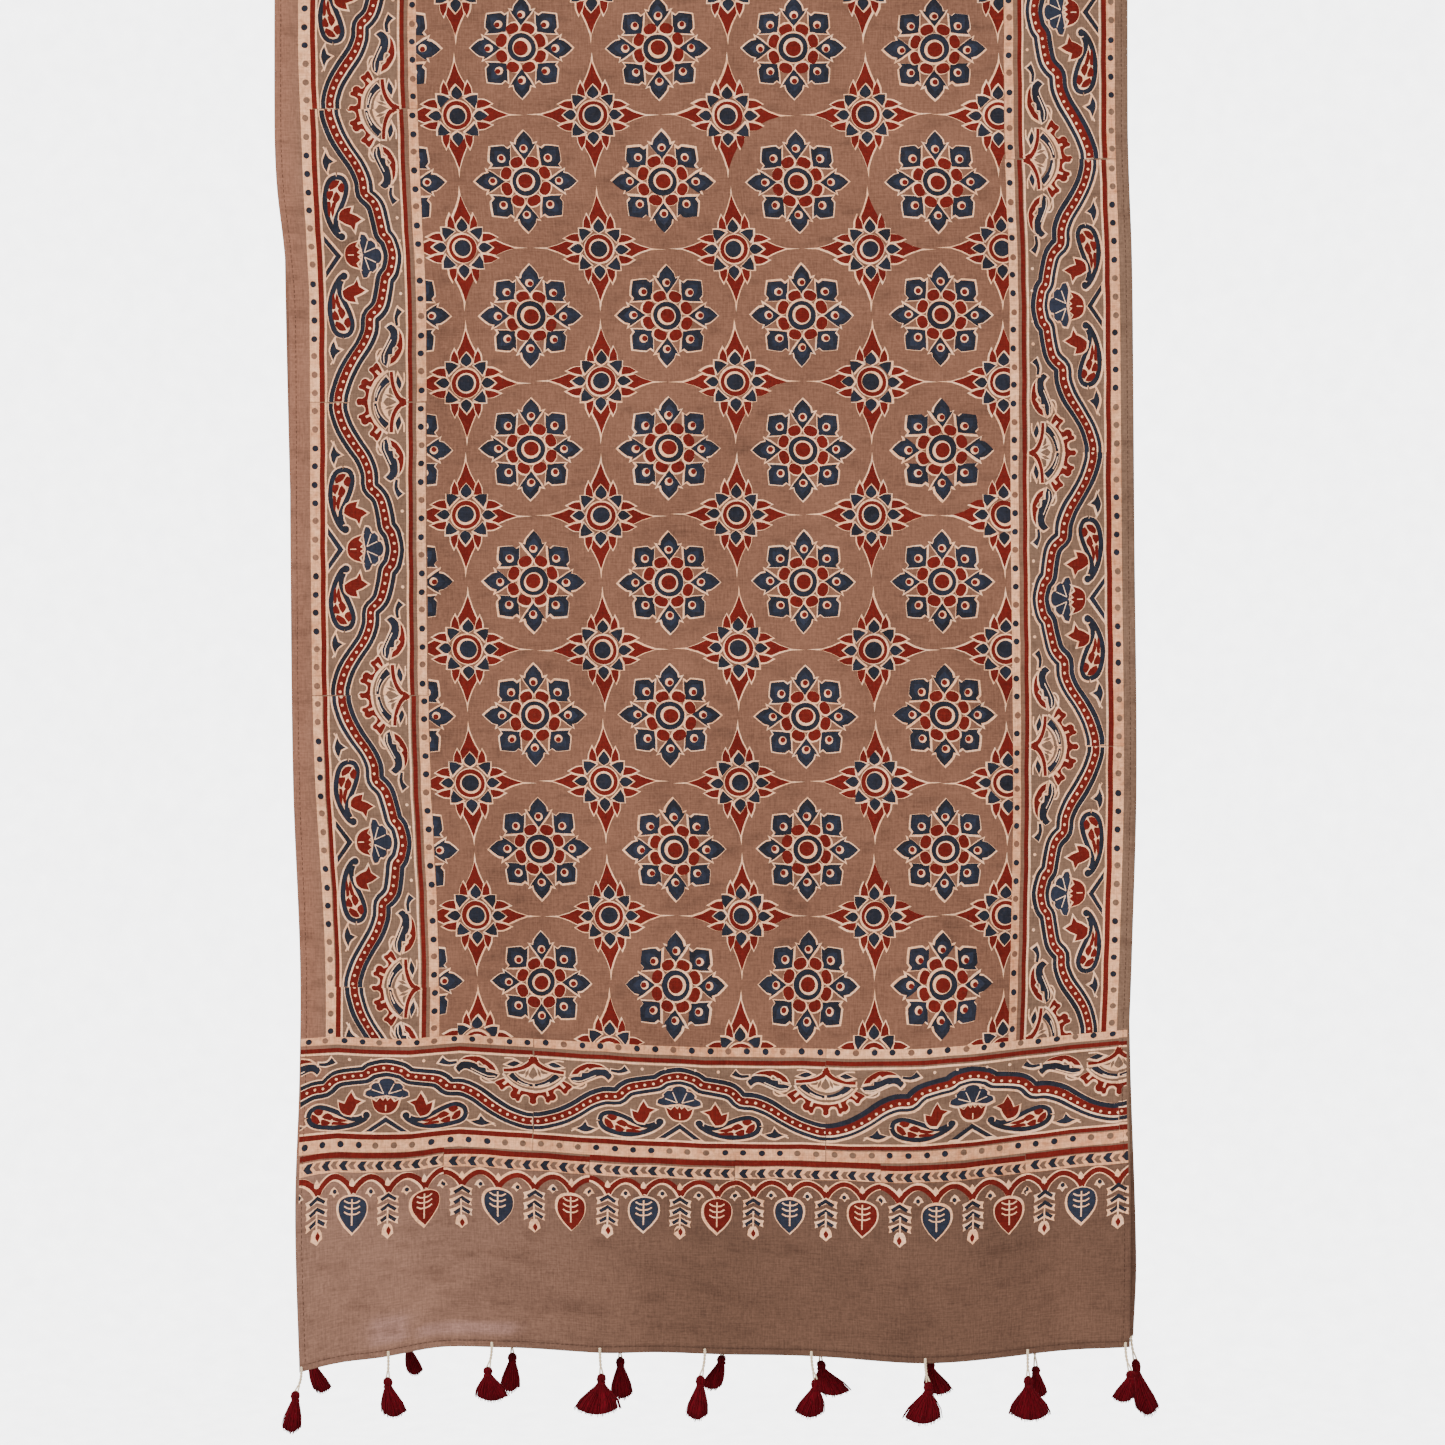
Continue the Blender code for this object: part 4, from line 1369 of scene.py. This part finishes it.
def make_tassel(name, head, length, half_width, lean, material, rng):
    """Strands tied at a narrow head and spread into a flat skirt, round a core that fills it."""
    half_depth = max(LEAST_HALF_DEPTH, half_width * TASSEL_FLATNESS)
    tubes = Tubes()

    def place(angle, out, level, reach):
        share, head_share, spread = level
        wide = HEAD_HALF * head_share * (1 - spread) + half_width * spread
        deep = HEAD_HALF * head_share * (1 - spread) + half_depth * spread
        fall = share * length * reach
        fall -= 0.14 * length * spread * math.cos(angle) ** 2 * out
        swing = lean * share**1.5
        return head + (wide * out * math.cos(angle) + swing, deep * out * math.sin(angle), -fall)

    for strand in range(STRANDS):
        angle = 2 * math.pi * (strand * 0.618034 % 1.0)
        out = 0.74 + 0.34 * rng.random() ** 0.5
        reach = 0.93 + 0.06 * rng.random()
        drift = rng.uniform(-0.10, 0.10)
        line = [place(angle + drift * level[2], out, level, reach) for level in TASSEL_PROFILE]
        radii = [STRAND_RADIUS * (0.7 if level[0] < 0.25 else 1.0) for level in TASSEL_PROFILE]
        radii[-1] *= 0.6
        tubes.add(line, radii, turn=rng.uniform(0, 2))
    add_core(tubes, place)
    for share, radius in ((0.205, 0.00235), (0.235, 0.0024)):
        add_tie(tubes, head, share * length, radius)
    return tubes.make(name, material)


def add_core(tubes, place):
    """The closed middle of a tassel, so that no light shows between its strands."""
    first = len(tubes.verts)
    sides = 16
    for level in TASSEL_PROFILE:
        for corner in range(sides):
            tubes.verts.append(place(2 * math.pi * corner / sides, 0.92, level, 0.93))
    for ring in range(len(TASSEL_PROFILE) - 1):
        for corner in range(sides):
            a = first + ring * sides + corner
            b = first + ring * sides + (corner + 1) % sides
            tubes.faces.append((a, a + sides, b + sides, b))
    tubes.faces.append(tuple(first + corner for corner in range(sides)))
    last = first + (len(TASSEL_PROFILE) - 1) * sides
    tubes.faces.append(tuple(last + corner for corner in reversed(range(sides))))


def add_tie(tubes, head, depth, radius):
    """A turn of yarn round the tassel's neck."""
    first = len(tubes.verts)
    around, section = 16, 5
    for i in range(around):
        turn = 2 * math.pi * i / around
        for j in range(section):
            angle = 2 * math.pi * j / section
            reach = radius + 0.0004 * math.cos(angle)
            tubes.verts.append(
                head + (reach * math.cos(turn), reach * math.sin(turn), -depth + 0.0004 * math.sin(angle))
            )
    for i in range(around):
        for j in range(section):
            a, b = i * section + j, i * section + (j + 1) % section
            c, d = (i + 1) % around * section + (j + 1) % section, (i + 1) % around * section + j
            tubes.faces.append((first + a, first + d, first + c, first + b))


def make_fringe(side, table, materials, rng):
    """The threads and tassels of one end, each standing for its CAD node."""
    front = side == "front"
    made = []
    for number, (x, thread_drop, swing, length, half_width, lean) in enumerate(table, start=1):
        hem = hem_place(x, front)
        head = hem + (swing, 0.0, -thread_drop)
        thread = make_thread(f"fringe_thread_{side}_{number}", hem, head, front, materials["thread"])
        tassel = make_tassel(
            f"fringe_tassel_{side}_{number}", head, length, half_width, lean, materials["tassel"], rng
        )
        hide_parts(f"thread_{side}_{number}")
        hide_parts(f"tassel_{side}_{number}")
        made += [dress(thread), dress(tassel)]
    return made


STITCH_PITCH = 3.3
STITCH_LENGTH = 2.3
STITCH_INSET = 4.3


def make_stitches(material):
    """A row of machine stitches along all four hems, a short rounded thread for each."""
    tubes = Tubes()
    ends = []
    for along in (STITCH_INSET, FLAT_LENGTH - STITCH_INSET):
        ends += [((x, along), (x + STITCH_LENGTH, along)) for x in spaced(6.0, FLAT_WIDTH - 6.0, STITCH_PITCH)]
    for across in (STITCH_INSET, FLAT_WIDTH - STITCH_INSET):
        ends += [((across, y), (across, y + STITCH_LENGTH)) for y in spaced(6.0, FLAT_LENGTH - 6.0, STITCH_PITCH)]
    starts = np.array([start for start, _ in ends])
    stops = np.array([stop for _, stop in ends])
    lines = []
    for share, lift in ((0.0, -0.05), (0.2, 0.12), (0.8, 0.12), (1.0, -0.05)):
        places = starts * (1 - share) + stops * share
        lines.append(on_grid(OUTER, places) + on_grid(NORMALS, places) * lift * MM)
    for line in np.stack(lines, axis=1):
        tubes.add(line, (0.00008, 0.00017, 0.00017, 0.00008), sides=4)
    return dress(tubes.make("hem_stitches", material))


# Stage, light and camera

LENS = 70.0
CAMERA_PLACE = (0.0128, -1.858, -0.5993)
FLOOR_HEIGHT = -2.1
WALL_RADIUS = 5.4
WALL_TOP = 5.0
COVE = 1.2


def make_stage():
    """A pale round studio: a floor that curves up into a wall. It glows softly and doesn't light the cloth."""
    profile = [(0.0, FLOOR_HEIGHT)]
    for step in range(9):
        angle = math.pi / 2 * step / 8
        profile.append(
            (WALL_RADIUS - COVE + COVE * math.sin(angle), FLOOR_HEIGHT + COVE - COVE * math.cos(angle))
        )
    profile.append((WALL_RADIUS, WALL_TOP))
    around = 48
    verts = []
    for radius, z in profile:
        for step in range(around):
            angle = 2 * math.pi * step / around
            verts.append((max(radius, 0.01) * math.cos(angle), max(radius, 0.01) * math.sin(angle), z))
    faces = [tuple(range(around))]
    for ring in range(len(profile) - 1):
        for step in range(around):
            a, b = ring * around + step, ring * around + (step + 1) % around
            faces.append((a, b, b + around, a + around))
    shader = Shader("plaster", 0.95)
    place = shader.add("ShaderNodeTexCoord").outputs["Object"]
    grain = shader.noise(place, (22.0, 22.0, 22.0), detail=6.0)
    colour = shader.mix(shader.mapped(grain, 0.3, 0.7, 0.0, 1.0), (0.80, 0.80, 0.81), (0.88, 0.88, 0.885))
    shader.join(colour, shader.surface.inputs["Base Color"])
    shader.join(colour, shader.surface.inputs["Emission Color"])
    shader.surface.inputs["Emission Strength"].default_value = 5.0
    backdrop = make_piece("backdrop", verts, faces, shader.material)
    backdrop.visible_diffuse = False
    backdrop.visible_glossy = False
    backdrop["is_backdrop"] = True


def add_light(name, place, size, power):
    light = bpy.data.lights.new(name, "AREA")
    light.shape = "DISK"
    light.size = size
    light.energy = power
    lamp = bpy.data.objects.new(name, light)
    lamp.location = place
    aim = Vector((0.0, 0.0, -0.55)) - Vector(place)
    lamp.rotation_euler = aim.to_track_quat("-Z", "Y").to_euler()
    bpy.context.scene.collection.objects.link(lamp)


def make_lights():
    add_light("key", (-2.9, -2.6, 1.5), 1.5, 138.0)
    add_light("fill", (2.4, -3.2, 0.4), 2.6, 56.0)
    add_light("back_key", (2.0, 2.6, 1.2), 2.2, 60.0)
    world = bpy.data.worlds.new("studio")
    bpy.context.scene.world = world
    world.use_nodes = True
    background = world.node_tree.nodes["Background"]
    background.inputs["Color"].default_value = (0.93, 0.94, 0.96, 1.0)
    background.inputs["Strength"].default_value = 1.0


def make_camera():
    data = bpy.data.cameras.new("camera")
    data.lens = LENS
    data.sensor_width = 36.0
    camera = bpy.data.objects.new("camera", data)
    camera.location = CAMERA_PLACE
    camera.rotation_euler = (math.pi / 2, 0.0, 0.0)
    bpy.context.scene.collection.objects.link(camera)
    bpy.context.scene.camera = camera


def main():
    rng = random.Random(7)
    materials = make_materials()
    cloth = make_cloth(materials["cloth"])
    lay_field(rng)
    lay_side_borders(rng)
    lay_ends(rng)
    trimmings = [make_print(ink, half, materials[ink]) for ink, half in LAYERS]
    trimmings.append(make_stitches(materials["stitch"]))
    trimmings += make_fringe("front", FRONT_TASSELS, materials, rng)
    trimmings += make_fringe("back", BACK_TASSELS, materials, rng)
    make_stage()
    make_lights()
    make_camera()


main()

boxes = {"cad": CAD_BOX, "visual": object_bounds()}
{name: [list(corner) for corner in box] for name, box in boxes.items()}
